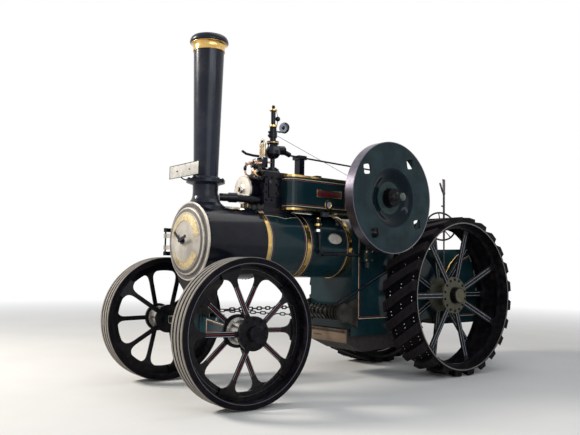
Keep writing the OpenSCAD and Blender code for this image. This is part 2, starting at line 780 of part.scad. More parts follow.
// Water tank with the coal bunker over it and the sheets beside the driver
module tender() {
    engine_frame() color(green) {
        block([tender_back, -tender_y, footplate_z], [tender_mid, tender_y, tank_top]);
        difference() {
            block([tender_back, -tender_y, tank_top - 1], [tender_mid, tender_y, tender_top]);
            block([tender_back + sheet_t, -tender_y + sheet_t, tank_top],
                  [tender_mid - sheet_t, tender_y - sheet_t, tender_top + 1]);
        }
        for (side = [-1, 1])
            plate_xz(side * (tender_y - sheet_t / 2) - sheet_t / 2, side * (tender_y - sheet_t / 2) + sheet_t / 2)
                polygon([[tender_mid - 1, footplate_z], [-210, footplate_z], [-210, tender_top - 440],
                         [-240, tender_top - 320], [-330, tender_top - 200], [-460, tender_top - 100],
                         [tender_mid - 1, tender_top]]);
        // Ears and pin of the filler lid
        for (side = [-1, 1])
            block([lid_hinge_x - 8, side * 37 - 6, tank_top - 1], [lid_hinge_x + 8, side * 37 + 6, tank_top + 20]);
        cyl_y(-38, 38, lid_pin_r, lid_hinge_x, lid_hinge_z);
    }
}

// Floor of the driver's stand with its step
module footplate() {
    engine_frame() color(black) {
        block([tender_mid + seat, -tender_y + sheet_t + seat, footplate_z],
              [-75, tender_y - sheet_t - seat, footplate_z + 12]);
        // Brackets that bolt to the hornplates
        for (side = [-1, 1])
            block([-190, side * (hornplate_y - seat - 15) - 15, footplate_z + 11],
                  [-75, side * (hornplate_y - seat - 15) + 15, footplate_z + 240]);
    }
}

// Filler lid of the water tank
tank_top = 1050;
lid_x = -1130;
lid_r = 90;
lid_eye_r = 9;
lid_pin_r = 4;
lid_hinge_x = lid_x - lid_r - lid_eye_r;
lid_hinge_z = tank_top + seat + lid_eye_r;
module tank_lid() {
    engine_frame() color(black) {
        cyl_z(tank_top + seat, tank_top + 12, lid_r, lid_x, 0);
        difference() {
            union() {
                cyl_y(-30, 30, lid_eye_r, lid_hinge_x, lid_hinge_z);
                block([lid_hinge_x, -30, tank_top + 2], [lid_x, 30, tank_top + 14]);
            }
            cyl_y(-40, 40, lid_pin_r + run_gap / 2, lid_hinge_x, lid_hinge_z);
        }
        block([lid_x + 40, -8, tank_top + 11], [lid_x + 50, 8, tank_top + 30]);
    }
}

// Two plates behind the tender with a hole for the towing pin
module drawbar() {
    z = 640;
    engine_frame() color(black) difference() {
        union() {
            block([tender_back - 40, -150, z - 80], [tender_back - seat, 150, z + 100]);
            for (level = [z - 50, z + 50])
                drawbar_plate(level, 20);
        }
        cyl_z(z - 100, z + 120, drawbar_pin_r, tender_back - 95, 0);
    }
}
module drawbar_plate(z, t) {
    translate([0, 0, z]) linear_extrude(t) {
        translate([tender_back - 95, 0]) circle(r = 55);
        translate([tender_back - 95, -55]) square([60, 110]);
    }
}

// Lever with its latch and quadrant beside the driver
module reversing_lever() {
    y = 360;
    engine_frame() color(steel) {
        rod([-250, y, 1240], [-250, y, 2330], 10);
        rod([-250, y, 2250], [-225, y, 2380], 6);
        plate_xz(y - 12, y - 12 + 6) polygon([[-330, 1180], [-215, 1180], [-215, 1260], [-330, 1260]]);
        block([-330, y - 12, 1180], [-215, tender_y - sheet_t - seat, 1240]);
    }
}

// Steering

drum_x = 1500;
drum_z = 745;
drum_r = 60;
drum_y = 340;
drum_shaft_y = 400;
worm_wheel_r = 100;
worm_tooth = 14;
worm_y = 383;

// Chain: width and thickness of a link, and the height of its middle over the drum's axis
link_w = 38;
link_wire = 11;
link_reach = 65;
wound_length = 64;

// Drum with the chain wound on it, its shaft and the worm wheel
module steering_drum() {
    links_per_turn = 8;
    wound_links = 36;
    engine_frame() color(black) {
        cyl_y(-380, drum_shaft_y, 24, drum_x, drum_z);
        cyl_y(-drum_y, drum_y, drum_r, drum_x, drum_z);
        // Ribs that guide the chain where it isn't wound
        for (side = [-1, 1]) for (y = [chain_off_y + 34 : 50 : drum_y])
            cyl_y(side * y - 4, side * y + 4, drum_r + 24, drum_x, drum_z);
        // The chain comes on under the drum on the right and leaves over it on the left
        for (i = [0 : wound_links])
            translate([drum_x, -chain_off_y + i * chain_off_y * 2 / wound_links, drum_z])
                rotate([0, 90 + i * 360 / links_per_turn, 0]) translate([link_reach, 0, 0])
                    rotate([0, 90, 0]) rotate([i % 2 == 0 ? 90 : 0, 0, 0])
                        translate([0, 0, -link_wire / 2]) linear_extrude(link_wire) link_outline(wound_length, link_w);
        translate([drum_x, 0, drum_z]) plate_xz(worm_y - 12, worm_y + 12) gear_outline(24, worm_wheel_r, worm_tooth);
        // Brackets back to the hornplates
        for (side = [-1, 1])
            plate_xz(side * (hornplate_out + 9) - 9 + side * seat, side * (hornplate_out + 9) + 9 + side * seat)
                polygon([[drum_x + 50, drum_z - 45], [drum_x + 50, drum_z + 45], [1260, drum_z + 165],
                         [1260, drum_z - 175]]);
    }
}
chain_off_y = 150;

// Free runs of the chain, from the drum to the two ends of the front axle
module steering_chains() {
    engine_frame() color(grey) {
        chain_run([drum_x, chain_off_y, drum_z + link_reach], [chain_end_x, chain_end_y, chain_left_z]);
        chain_run([drum_x, -chain_off_y, drum_z - link_reach], [chain_end_x, -chain_end_y, chain_right_z]);
    }
}
chain_end_x = wheelbase - 20;
chain_end_y = 420;

// Links from the last wound one, which ends half its length past the start, to the end
module chain_run(from, to) {
    links = 25;
    yaw = atan2(to[1] - from[1], to[0] - from[0]);
    pitch_angle = -atan2(to[2] - from[2], norm([to[0] - from[0], to[1] - from[1]]));
    clear = seat + link_wire / 2 * (abs(tan(yaw)) + abs(tan(pitch_angle)));
    skip = (wound_length / 2 + clear) / norm(to - from);
    step = (1 - skip) / (links + 0.1);
    for (i = [0 : links - 1])
        translate(from + (to - from) * (skip + step * (i + 0.6))) rotate([i % 2 * 90, pitch_angle, yaw])
            chain_link(norm(to - from) * step);
}
module chain_link(pitch) {
    translate([0, 0, -link_wire / 2]) linear_extrude(link_wire) difference() {
        link_outline(pitch * 1.2, link_w);
        link_outline(pitch - 10, 15);
    }
}
module link_outline(length, width) {
    polygon([[-length / 2, -width / 5], [-length / 2 + width / 3, -width / 2], [length / 2 - width / 3, -width / 2],
             [length / 2, -width / 5], [length / 2, width / 5], [length / 2 - width / 3, width / 2],
             [-length / 2 + width / 3, width / 2], [-length / 2, width / 5]]);
}

// Steering shaft with its worm, universal joint and handwheel, along the left side
column_slope = 24.4;
worm_r = 22;
module steering_column() {
    reach = worm_wheel_r + worm_tooth * 0.45 + worm_r + seat;
    along = [-cos(column_slope), 0, sin(column_slope)];
    worm = [drum_x + reach * sin(column_slope), worm_y, drum_z + reach * cos(column_slope)];
    foot = worm - along * 60;
    joint = worm + along * 1565;
    top = [-400, 190, 1790];
    bearing_x = 620;
    bearing_z = worm[2] + (worm[0] - bearing_x) * tan(column_slope);
    engine_frame() color(black) {
        rod(foot, joint, 12);
        rod(worm - along * 40, worm + along * 40, worm_r);
        rod(joint - along * 26, joint + along * 26, 21);
        rod(joint, top, 12);
        // Bearing on the hornplate
        block([bearing_x - 20, hornplate_out + seat, bearing_z - 25], [bearing_x + 20, worm_y, bearing_z + 25]);
        translate(top) rotate([0, -66, 19]) {
            rotate_extrude() translate([190, 0])
                polygon([[-11, -4], [-4, -11], [4, -11], [11, -4], [11, 4], [4, 11], [-4, 11], [-11, 4]]);
            for (a = [0 : 72 : 288]) rotate([0, 0, a]) rotate([0, 90, 0]) cylinder(h = 185, r = 7);
            cylinder(h = 40, r = 26, center = true);
        }
    }
}

// Front axle

kingpin_r = 30;
axle_top = front_wheel_r + 110;
perch_foot = axle_top + run_gap;

// Casting under the smokebox that carries the kingpin
module perch_bracket() {
    saddle_z = boiler_z - smokebox_r;
    engine_frame() color(black) {
        difference() {
            union() {
                plate_yz(wheelbase - 130, wheelbase + 130)
                    polygon([[-260, saddle_z + 60], [-200, saddle_z - 40], [-110, saddle_z - 110], [-95, perch_foot],
                             [95, perch_foot], [110, saddle_z - 110], [200, saddle_z - 40], [260, saddle_z + 60]]);
                cyl_z(perch_foot, perch_foot + 60, 120, wheelbase);
            }
            cyl_x(smokebox_back, smokebox_front, smokebox_r + seat, 0, boiler_z);
        }
        cyl_z(axle_top - 210, perch_foot + 1, kingpin_r, wheelbase);
    }
}

// Beam axle with its centre boss, stubs and the lugs for the chains
module front_axle() {
    axle_frame() color(black) difference() {
        union() {
            plate_yz(-45, 45)
                translate([0, front_wheel_r])
                    polygon([[-front_hub_in + 5, -40], [-front_hub_in + 5, 40], [-200, 85], [200, 85],
                             [front_hub_in - 5, 40], [front_hub_in - 5, -40], [200, -75], [-200, -75]]);
            cyl_z(axle_top - 200, axle_top, 95);
            cyl_y(-front_hub_out + 30, front_hub_out - 30, front_stub_r, 0, front_wheel_r);
            // Lugs for the two chains
            block([-28, chain_end_y - 25, front_wheel_r + 30], [28, chain_end_y + 25, chain_left_z - link_w / 2 - chain_dip]);
            block([-28, -chain_end_y - 25, front_wheel_r + 30], [28, -chain_end_y + 25, chain_right_z - link_w / 2 - chain_dip]);
        }
        cyl_z(axle_top - 300, axle_top + 100, kingpin_r + run_gap / 2);
    }
}
// Heights of the chains' front ends, and the room under them for the lugs as the axle turns
chain_left_z = front_wheel_r + 168;
chain_right_z = front_wheel_r + 130;
chain_dip = 24;

// Wheels

front_stub_r = 42;
front_hub_in = front_wheel_y - 150;
front_hub_out = front_wheel_y + 225;
hind_hub_in = 475;
hind_hub_out = 800;

// Spokes from two hub flanges to the middle of the rim, by turns to the outer and the inner flange.
// Each spoke is a flat bar that widens to a foot at the rim.
module spokes(count, hub_r, rim_r, hub_low, hub_high, rim_low, rim_high, bar_w, bar_t, foot_w) {
    for (i = [0 : count - 1]) {
        hub_y = i % 2 == 0 ? hub_high : hub_low;
        rim_y = i % 2 == 0 ? rim_high : rim_low;
        reach = norm([rim_r - hub_r, rim_y - hub_y]);
        rotate([0, -i * 360 / count, 0]) translate([hub_r, hub_y, 0])
            rotate([0, 0, atan2(rim_y - hub_y, rim_r - hub_r)]) plate_xz(-bar_t / 2, bar_t / 2)
                polygon([[0, -bar_w / 2], [reach - foot_w / 2, -bar_w / 2], [reach - 20, -foot_w / 2],
                         [reach, -foot_w / 2], [reach, foot_w / 2], [reach - 20, foot_w / 2],
                         [reach - foot_w / 2, bar_w / 2], [0, bar_w / 2]]);
    }
}

// Front wheel about its own centre, with its outer side toward +Y
module front_wheel() {
    rim_out = front_wheel_r - front_tyre_depth;
    half = front_wheel_w / 2;
    difference() {
        union() {
            turn_y() polygon([[rim_out - 16, -half], [rim_out, -half], [rim_out, half], [rim_out - 16, half],
                              [rim_out - 16, 7], [rim_out - 62, 7], [rim_out - 62, -7], [rim_out - 16, -7]]);
            spokes(front_spokes, 90, rim_out - 14, -128, 128, -14, 14, 46, 16, 120);
            // Hub with its two flanges and the cap
            turn_y() polygon([[0, 225], [62, 225], [74, 215], [76, 160], [100, 156], [150, 150], [150, 120],
                              [104, 116], [98, 0], [104, -116], [150, -120], [150, -140], [90, -150],
                              [0, -150]]);
        }
        cyl_y(-200, front_hub_out - 30 - front_wheel_y + run_gap, front_stub_r + run_gap / 2);
    }
}

// Plain rubber tyre of a front wheel
module front_tyre() {
    rim_out = front_wheel_r - front_tyre_depth;
    half = front_wheel_w / 2;
    turn_y() polygon([[rim_out + seat, -half], [front_wheel_r - tyre_chamfer, -half],
                      [front_wheel_r, -half + tyre_chamfer], [front_wheel_r, half - tyre_chamfer],
                      [front_wheel_r - tyre_chamfer, half], [rim_out + seat, half]]);
}

module front_wheel_place(side) {
    axle_frame() translate([0, side * front_wheel_y, front_wheel_r]) mirror([0, side < 0 ? 1 : 0, 0]) children();
}
module front_wheel_left() { color(black) front_wheel_place(1) front_wheel(); }
module front_wheel_right() { color(black) front_wheel_place(-1) front_wheel(); }
module front_tyre_left() { color(rubber) front_wheel_place(1) front_tyre(); }
module front_tyre_right() { color(rubber) front_wheel_place(-1) front_tyre(); }

// Hind wheel about its own centre, with its outer side toward +Y
module hind_wheel() {
    half = hind_wheel_w / 2;
    rim_t = 16;
    web_y = 120;
    hub_a = hind_hub_in - hind_wheel_y;
    hub_b = hind_hub_out - hind_wheel_y;
    difference() {
        union() {
            turn_y() polygon([[hind_rim_r - rim_t, -half], [hind_rim_r, -half], [hind_rim_r, half],
                              [hind_rim_r - rim_t, half]]);
            for (y = [-web_y, web_y]) turn_y()
                polygon([[hind_rim_r - 70, y - 8], [hind_rim_r - rim_t + 2, y - 8], [hind_rim_r - rim_t + 2, y + 8],
                         [hind_rim_r - 70, y + 8]]);
            spokes(hind_spokes, 120, hind_rim_r - 18, hub_a + 25, hub_b - 95, -web_y + 15, web_y - 15, 76, 16, 150);
            turn_y() polygon([[0, hub_b], [80, hub_b], [92, hub_b - 10], [94, hub_b - 76], [215, hub_b - 84],
                              [215, hub_b - 110], [130, hub_b - 118], [125, hub_a + 50], [200, hub_a + 40],
                              [200, hub_a + 14], [120, hub_a], [0, hub_a]]);
        }
        cyl_y(-half * 2, hub_b - 30 + run_gap, hind_axle_r + run_gap / 2);
    }
}

// Band of rubber with slanting lugs, each swept round the rim in short straight steps
module hind_lugs() {
    half = hind_wheel_w / 2;
    steps = 4;
    lug_half_angle = 4.2;
    band_h = 8;
    union() {
        difference() {
            cyl_y(-half, half, hind_rim_r + band_h);
            cyl_y(-half - 1, half + 1, hind_rim_r + seat);
        }
        for (i = [0 : lug_count - 1]) rotate([0, i * 360 / lug_count, 0])
            lug(steps, half - 3, lug_half_angle, hind_rim_r + band_h / 2, hind_rim_r + lug_h);
    }
}

// One lug: rows of four corners from the inner to the outer edge of the wheel
module lug(steps, half, half_angle, low_r, high_r) {
    function corner(r, a, y) = [r * sin(a), y, -r * cos(a)];
    rows = [for (i = [0 : steps])
        let (y = -half + i * half * 2 / steps, a = (i / steps - 0.5) * lug_sweep, wide = half_angle)
            [corner(low_r, a - wide, y), corner(low_r, a + wide, y),
             corner(high_r, a + wide * 0.82, y), corner(high_r, a - wide * 0.82, y)]];
    points = [for (row = rows) for (p = row) p];
    faces = concat(
        [[0, 1, 2, 3]],
        [for (i = [0 : steps - 1]) for (j = [0 : 3])
            let (a = i * 4 + j, b = i * 4 + (j + 1) % 4) each [[a, a + 4, b], [b, a + 4, b + 4]]],
        [[steps * 4 + 3, steps * 4 + 2, steps * 4 + 1, steps * 4]]);
    polyhedron(points, faces);
}

module hind_wheel_place(side) {
    engine_frame() translate([0, side * hind_wheel_y, hind_axle_z]) mirror([0, side < 0 ? 1 : 0, 0]) children();
}
module hind_wheel_left() { color(black) hind_wheel_place(1) hind_wheel(); }
module hind_wheel_right() { color(black) hind_wheel_place(-1) hind_wheel(); }
module hind_lugs_left() { color(rubber) hind_wheel_place(1) hind_lugs(); }
module hind_lugs_right() { color(rubber) hind_wheel_place(-1) hind_lugs(); }

smokebox();
smokebox_ring();
door_hinge();
chimney_base();
chimney_tube();
chimney_band();
chimney_cap();
boiler_barrel();
boiler_bands();
firebox();
ashpan();
hornplate_left();
hornplate_right();
crank_bearings();
motion_tray();
cylinder_block();
cylinder_cover();
guide_bars();
connecting_rod();
valve_stack();
whistle();
pressure_gauge();
lubricator();
exhaust_pipe();
regulator_rod();
clack_valve();
feed_pump();
second_shaft();
third_shaft();
final_gear();
hind_axle();
tender();
footplate();
drawbar();
reversing_lever();
steering_drum();
steering_chains();
steering_column();
perch_bracket();
front_axle();
front_wheel_left();
front_tyre_left();
front_wheel_right();
front_tyre_right();
hind_wheel_left();
hind_lugs_left();
hind_wheel_right();
hind_lugs_right();
crankshaft();
flywheel();
smokebox_door();
door_dart();
firehole_door();
tank_lid();
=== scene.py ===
# %% [markdown]
# A steam traction engine, parked on its rubber tyres, dressed over its CAD model.
# The CAD model is the frame: every casting, wheel and rod already stands in its place. This script gives each
# part the paint or metal that the real one shows, and adds what is too fine for the frame: lining, rivets,
# beading, pipes, blank plates and the ribs of the tyres. Lengths are in metres, X runs forward, Y to the
# engine's left and Z up.

# %% Load the frame
from math import atan2, cos, pi, radians, sin, sqrt, tau

import bmesh
import bpy
from mathutils import Matrix, Vector


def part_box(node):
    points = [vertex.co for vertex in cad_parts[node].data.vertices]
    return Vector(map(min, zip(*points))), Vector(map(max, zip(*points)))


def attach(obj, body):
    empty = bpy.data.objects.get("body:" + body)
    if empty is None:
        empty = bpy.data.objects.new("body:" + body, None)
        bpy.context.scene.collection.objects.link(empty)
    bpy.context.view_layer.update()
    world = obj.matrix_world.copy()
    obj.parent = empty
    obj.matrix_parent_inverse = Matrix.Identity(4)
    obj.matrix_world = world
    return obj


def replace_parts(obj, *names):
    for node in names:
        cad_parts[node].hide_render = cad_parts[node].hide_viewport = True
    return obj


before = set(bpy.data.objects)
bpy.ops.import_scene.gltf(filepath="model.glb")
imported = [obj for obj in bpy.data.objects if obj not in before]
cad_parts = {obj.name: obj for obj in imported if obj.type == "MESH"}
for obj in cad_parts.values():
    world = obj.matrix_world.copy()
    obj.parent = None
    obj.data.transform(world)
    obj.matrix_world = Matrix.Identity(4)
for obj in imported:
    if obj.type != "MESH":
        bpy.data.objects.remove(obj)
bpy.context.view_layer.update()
scene = bpy.context.scene
UP = Vector((0, 0, 1))
LEFT = Vector((0, 1, 0))
FORWARD = Vector((1, 0, 0))
ORIGIN = Vector((0, 0, 0))
SIDES = ("left", "right")

# %% [markdown]
# Places on an engine are told from the hind axle, because everything hangs on it. The axle's place is read
# from the frame, and so are the boiler's axis and the wheels' centres, so that no piece needs fitting by eye.

# %% Places read from the frame
def centre_of(node):
    low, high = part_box(node)
    return (low + high) / 2


def at(ahead, left, height):
    """A place by its distance ahead of the hind axle, its distance to the left, and its height."""
    return Vector((hind_axle.x + ahead, left, height))


hind_axle = centre_of("hind_axle")
boiler_axis_z = centre_of("boiler_barrel").z
barrel_low, barrel_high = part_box("boiler_barrel")
barrel_radius = barrel_high.z - boiler_axis_z
smokebox_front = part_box("smokebox_ring")[1].x
ring_width = 0.016
smokebox_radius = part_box("smokebox_ring")[1].y - ring_width
chimney_axis = centre_of("chimney_tube")
crank_centre = centre_of("flywheel")
front_centre = {side: centre_of("front_tyre_" + side) for side in SIDES}
hind_centre = {side: centre_of("hind_lugs_" + side) for side in SIDES}
front_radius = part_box("front_tyre_left")[1].z - front_centre["left"].z
lug_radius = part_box("hind_lugs_left")[1].z - hind_centre["left"].z
between_front_wheels = front_centre["left"] - front_centre["right"]
front_axle_turn = atan2(-between_front_wheels.x, between_front_wheels.y)
for what, radius in (("barrel", barrel_radius), ("front wheel", front_radius), ("hind wheel", lug_radius)):
    print(what, "radius", round(radius, 3))
print("front axle turned", round(front_axle_turn * 180 / pi, 1), "degrees")

# %% [markdown]
# Materials are node trees. A few short helpers keep each one readable: one adds a node and sets its plain
# values, one makes a noise that is cut to patches, one mixes two colours. All patterns read Object
# coordinates, which for a piece of this frame are metres on the engine, so a scale of 100 means centimetres.

# %% Helpers for node trees
finishes = {}


def new_finish(name):
    material = bpy.data.materials.new(name)
    material.use_nodes = True
    finishes[name] = material
    return material.node_tree, material.node_tree.nodes["Principled BSDF"]


def shaded(colour, factor):
    return tuple(part * factor for part in colour)


def feed(tree, value, socket):
    """Joins a socket to another one, or gives it a plain value."""
    if isinstance(value, bpy.types.NodeSocket):
        tree.links.new(value, socket)
    elif isinstance(value, tuple) and len(value) == 3 and socket.type == "RGBA":
        socket.default_value = (*value, 1)
    else:
        socket.default_value = value


def add(tree, kind, **values):
    made = tree.nodes.new(kind)
    for name, value in values.items():
        feed(tree, value, made.inputs[name.replace("_", " ")])
    return made


def calculate(tree, operation, first, second=0.0, kind="ShaderNodeMath"):
    made = tree.nodes.new(kind)
    made.operation = operation
    feed(tree, first, made.inputs[0])
    feed(tree, second, made.inputs[1])
    return made.outputs[0]


def times(tree, first, second):
    return calculate(tree, "MULTIPLY", first, second)


def ramp(tree, value, low, high, start=0.0, end=1.0):
    """Goes from start to end while the value goes from low to high."""
    made = add(tree, "ShaderNodeMapRange", Value=value, From_Min=low, From_Max=high, To_Min=start, To_Max=end)
    return made.outputs[0]


def blend(tree, share, first, second):
    """Two colours mixed, or one where the share is 0 and the other where it is 1."""
    share_input, first_colour_input, second_colour_input, colour_output = 0, 6, 7, 2
    made = tree.nodes.new("ShaderNodeMix")
    made.data_type = "RGBA"
    feed(tree, share, made.inputs[share_input])
    feed(tree, first, made.inputs[first_colour_input])
    feed(tree, second, made.inputs[second_colour_input])
    return made.outputs[colour_output]


def place_on_engine(tree):
    return tree.nodes.new("ShaderNodeTexCoord").outputs["Object"]


def coordinate(tree, letter):
    return add(tree, "ShaderNodeSeparateXYZ", Vector=place_on_engine(tree)).outputs[letter]


def noise(tree, scale, detail):
    made = add(tree, "ShaderNodeTexNoise", Vector=place_on_engine(tree), Scale=scale, Detail=detail)
    return made.outputs["Fac"]


def patches(tree, scale, low=0.4, high=0.6):
    """Noise cut to soft patches: 0 outside them and 1 inside."""
    return ramp(tree, noise(tree, scale, 5.0), low, high)


def roughen(tree, shader, scale, strength, depth):
    """Fine relief on a surface: depth in metres, strength from 0 to 1."""
    bump = add(tree, "ShaderNodeBump", Height=noise(tree, scale, 4.0), Strength=strength, Distance=depth)
    tree.links.new(bump.outputs[0], shader.inputs["Normal"])


def lined_up(tree, centre, axis):
    """The place as seen from a centre, turned so that the axis lies along Y."""
    turn = axis.rotation_difference(LEFT).to_matrix()
    return add(tree, "ShaderNodeMapping", Vector=place_on_engine(tree), Location=tuple(-(turn @ centre)),
               Rotation=tuple(turn.to_euler())).outputs[0]


def distance_from(tree, centre, axis=None):
    """How far a point lies from a centre, or from the line through it along an axis."""
    moved = lined_up(tree, centre, LEFT if axis is None else axis)
    keep = (1.0, 1.0 if axis is None else 0.0, 1.0)
    length = tree.nodes.new("ShaderNodeVectorMath")
    length.operation = "LENGTH"
    tree.links.new(calculate(tree, "MULTIPLY", moved, keep, "ShaderNodeVectorMath"), length.inputs[0])
    return length.outputs["Value"]


def distance_along(tree, centre, axis):
    """How far a point lies from a centre, counted along an axis only."""
    moved = add(tree, "ShaderNodeSeparateXYZ", Vector=lined_up(tree, centre, axis))
    return calculate(tree, "ABSOLUTE", moved.outputs["Y"])


def between(tree, value, low, high, soft=0.001):
    """1 while the value lies from low to high, with a short soft edge, and 0 elsewhere."""
    return times(tree, ramp(tree, value, low - soft, low), ramp(tree, value, high + soft, high))


print("helpers for node trees are ready")

# %% [markdown]
# Coach enamel was brushed on in many coats and flatted, so it is deep and glossy with only a trace of
# unevenness. Two shades of one colour, a clear coat, and show-ground dust that settles in thin patches make
# it: without the dust, a dark gloss paint looks like plastic.

# %% Enamel
DUST = (0.30, 0.26, 0.20)


def enamel(name, deep, light, dust=0.10, gloss=0.16, sheen=0.18):
    tree, shader = new_finish(name)
    colour = blend(tree, patches(tree, 2.2, 0.35, 0.70), deep, light)
    low_down = ramp(tree, coordinate(tree, "Z"), 1.0, 0.2)
    splashed = times(tree, low_down, patches(tree, 16.0, 0.3, 0.8))
    settled = times(tree, calculate(tree, "ADD", patches(tree, 7.0, 0.46, 0.78), splashed), dust)
    feed(tree, blend(tree, settled, colour, DUST), shader.inputs["Base Color"])
    feed(tree, ramp(tree, settled, 0.0, 0.25, gloss, 0.6), shader.inputs["Roughness"])
    shader.inputs["Specular IOR Level"].default_value = sheen
    shader.inputs["Coat Weight"].default_value = 0.06
    shader.inputs["Coat Roughness"].default_value = 0.05
    roughen(tree, shader, 55, 0.10, 0.0015)


enamel("green_enamel", (0.0040, 0.019, 0.024), (0.0070, 0.029, 0.037), 0.03)
enamel("black_enamel", (0.0030, 0.0034, 0.0075), (0.0060, 0.0068, 0.014), 0.03)
enamel("wheel_enamel", (0.0030, 0.0026, 0.0042), (0.007, 0.006, 0.009), 0.04, 0.24, 0.09)
enamel("under_black", (0.006, 0.0055, 0.005), (0.015, 0.012, 0.010), 0.15, 0.4)
enamel("chimney_black", (0.007, 0.009, 0.017), (0.015, 0.019, 0.034), 0.05, 0.24)
print("enamels:", *finishes)

# %% [markdown]
# Lining is thin paint on top of the enamel, so it is a little matt and never quite even. The plates' fields
# and the badge are made of the same paint in other colours.

# %% Lining paint
def lining_paint(name, colour, roughness=0.35):
    tree, shader = new_finish(name)
    worn = blend(tree, patches(tree, 18.0, 0.35, 0.7), colour, shaded(colour, 0.72))
    feed(tree, worn, shader.inputs["Base Color"])
    matt = ramp(tree, patches(tree, 40.0, 0.3, 0.7), 0.0, 1.0, roughness, roughness + 0.15)
    feed(tree, matt, shader.inputs["Roughness"])
    shader.inputs["Coat Weight"].default_value = 0.2
    roughen(tree, shader, 300, 0.08, 0.0004)


lining_paint("cream_line", (0.62, 0.57, 0.38))
lining_paint("red_line", (0.33, 0.018, 0.015))
lining_paint("pale_blue_line", (0.36, 0.41, 0.46))
lining_paint("grey_line", (0.15, 0.14, 0.125), 0.5)
lining_paint("dim_line", (0.085, 0.085, 0.10), 0.45)
lining_paint("plate_red", (0.085, 0.008, 0.012), 0.25)
lining_paint("plate_white", (0.58, 0.55, 0.50), 0.3)
lining_paint("shaft_green", (0.042, 0.060, 0.054), 0.3)
lining_paint("badge_blue", (0.40, 0.42, 0.58), 0.3)
print(len(finishes), "finishes with the lining paints")

# %% [markdown]
# Bare metal shows its history: turned steel keeps a bloom of fine scratches, brass keeps finger marks, and
# the gears carry oil. Roughness and tint both come from noise.

# %% Metals
def metal(name, bright, dull, smooth, rough, scale=9.0, metallic=1.0):
    tree, shader = new_finish(name)
    feed(tree, blend(tree, patches(tree, scale, 0.38, 0.72), bright, dull), shader.inputs["Base Color"])
    worn = ramp(tree, patches(tree, scale * 6, 0.3, 0.7), 0.0, 1.0, smooth, rough)
    feed(tree, worn, shader.inputs["Roughness"])
    shader.inputs["Metallic"].default_value = metallic
    roughen(tree, shader, 160, 0.08, 0.0008)


metal("polished_brass", (0.72, 0.49, 0.18), (0.50, 0.30, 0.085), 0.12, 0.26)
metal("pale_brass", (0.66, 0.54, 0.32), (0.42, 0.31, 0.15), 0.22, 0.40, 26.0)
metal("old_bronze", (0.52, 0.42, 0.27), (0.26, 0.18, 0.10), 0.20, 0.42, 22.0)
metal("copper", (0.66, 0.40, 0.26), (0.42, 0.22, 0.13), 0.22, 0.40)
metal("bright_steel", (0.60, 0.58, 0.54), (0.42, 0.40, 0.37), 0.22, 0.38)
metal("oily_steel", (0.13, 0.12, 0.11), (0.045, 0.040, 0.036), 0.28, 0.5, 12.0)
metal("chain_steel", (0.045, 0.040, 0.038), (0.022, 0.015, 0.012), 0.4, 0.65, 30.0)
metal("cover_steel", (0.64, 0.59, 0.52), (0.50, 0.44, 0.37), 0.25, 0.42, 14.0)
metal("gauge_metal", (0.075, 0.090, 0.125), (0.045, 0.055, 0.078), 0.3, 0.5, 20.0, 0.4)
metal("lever_steel", (0.10, 0.085, 0.085), (0.055, 0.042, 0.042), 0.35, 0.55, 10.0, 0.6)
print(len(finishes), "finishes with the metals")

# %% [markdown]
# Rubber greys in the sun and packs with road dust where it meets the ground. The dust keeps to the tread, so
# it follows the distance from the axle and not the height: the wheel may stop in any position.

# %% Rubber
def tyre_rubber(name, wheel, axis, clean_to, dusty_from, dust_colour, amount):
    tree, shader = new_finish(name)
    rubber = blend(tree, patches(tree, 12.0, 0.35, 0.7), (0.0045, 0.004, 0.006), (0.011, 0.009, 0.011))
    tread = ramp(tree, distance_from(tree, wheel, axis), clean_to, dusty_from)
    uneven = ramp(tree, patches(tree, 30.0, 0.2, 0.8), 0.0, 1.0, amount * 0.7, amount)
    shade = blend(tree, patches(tree, 9.0, 0.3, 0.75), dust_colour, shaded(dust_colour, 0.72))
    dusty = times(tree, tread, uneven)
    feed(tree, blend(tree, dusty, rubber, shade), shader.inputs["Base Color"])
    feed(tree, ramp(tree, dusty, 0.0, 1.0, 0.5, 0.9), shader.inputs["Roughness"])
    shader.inputs["Specular IOR Level"].default_value = 0.04
    roughen(tree, shader, 120, 0.3, 0.001)


axle_line = Matrix.Rotation(front_axle_turn, 3, "Z") @ LEFT
for side in SIDES:
    tyre_rubber("front_rubber_" + side, front_centre[side], axle_line, front_radius - 0.007,
                front_radius - 0.001, (0.39, 0.36, 0.32), 0.92)
    tyre_rubber("lug_rubber_" + side, hind_centre[side], LEFT, lug_radius - 0.012, lug_radius - 0.001,
                (0.040, 0.034, 0.034), 0.70)
print("rubber for both pairs of wheels")
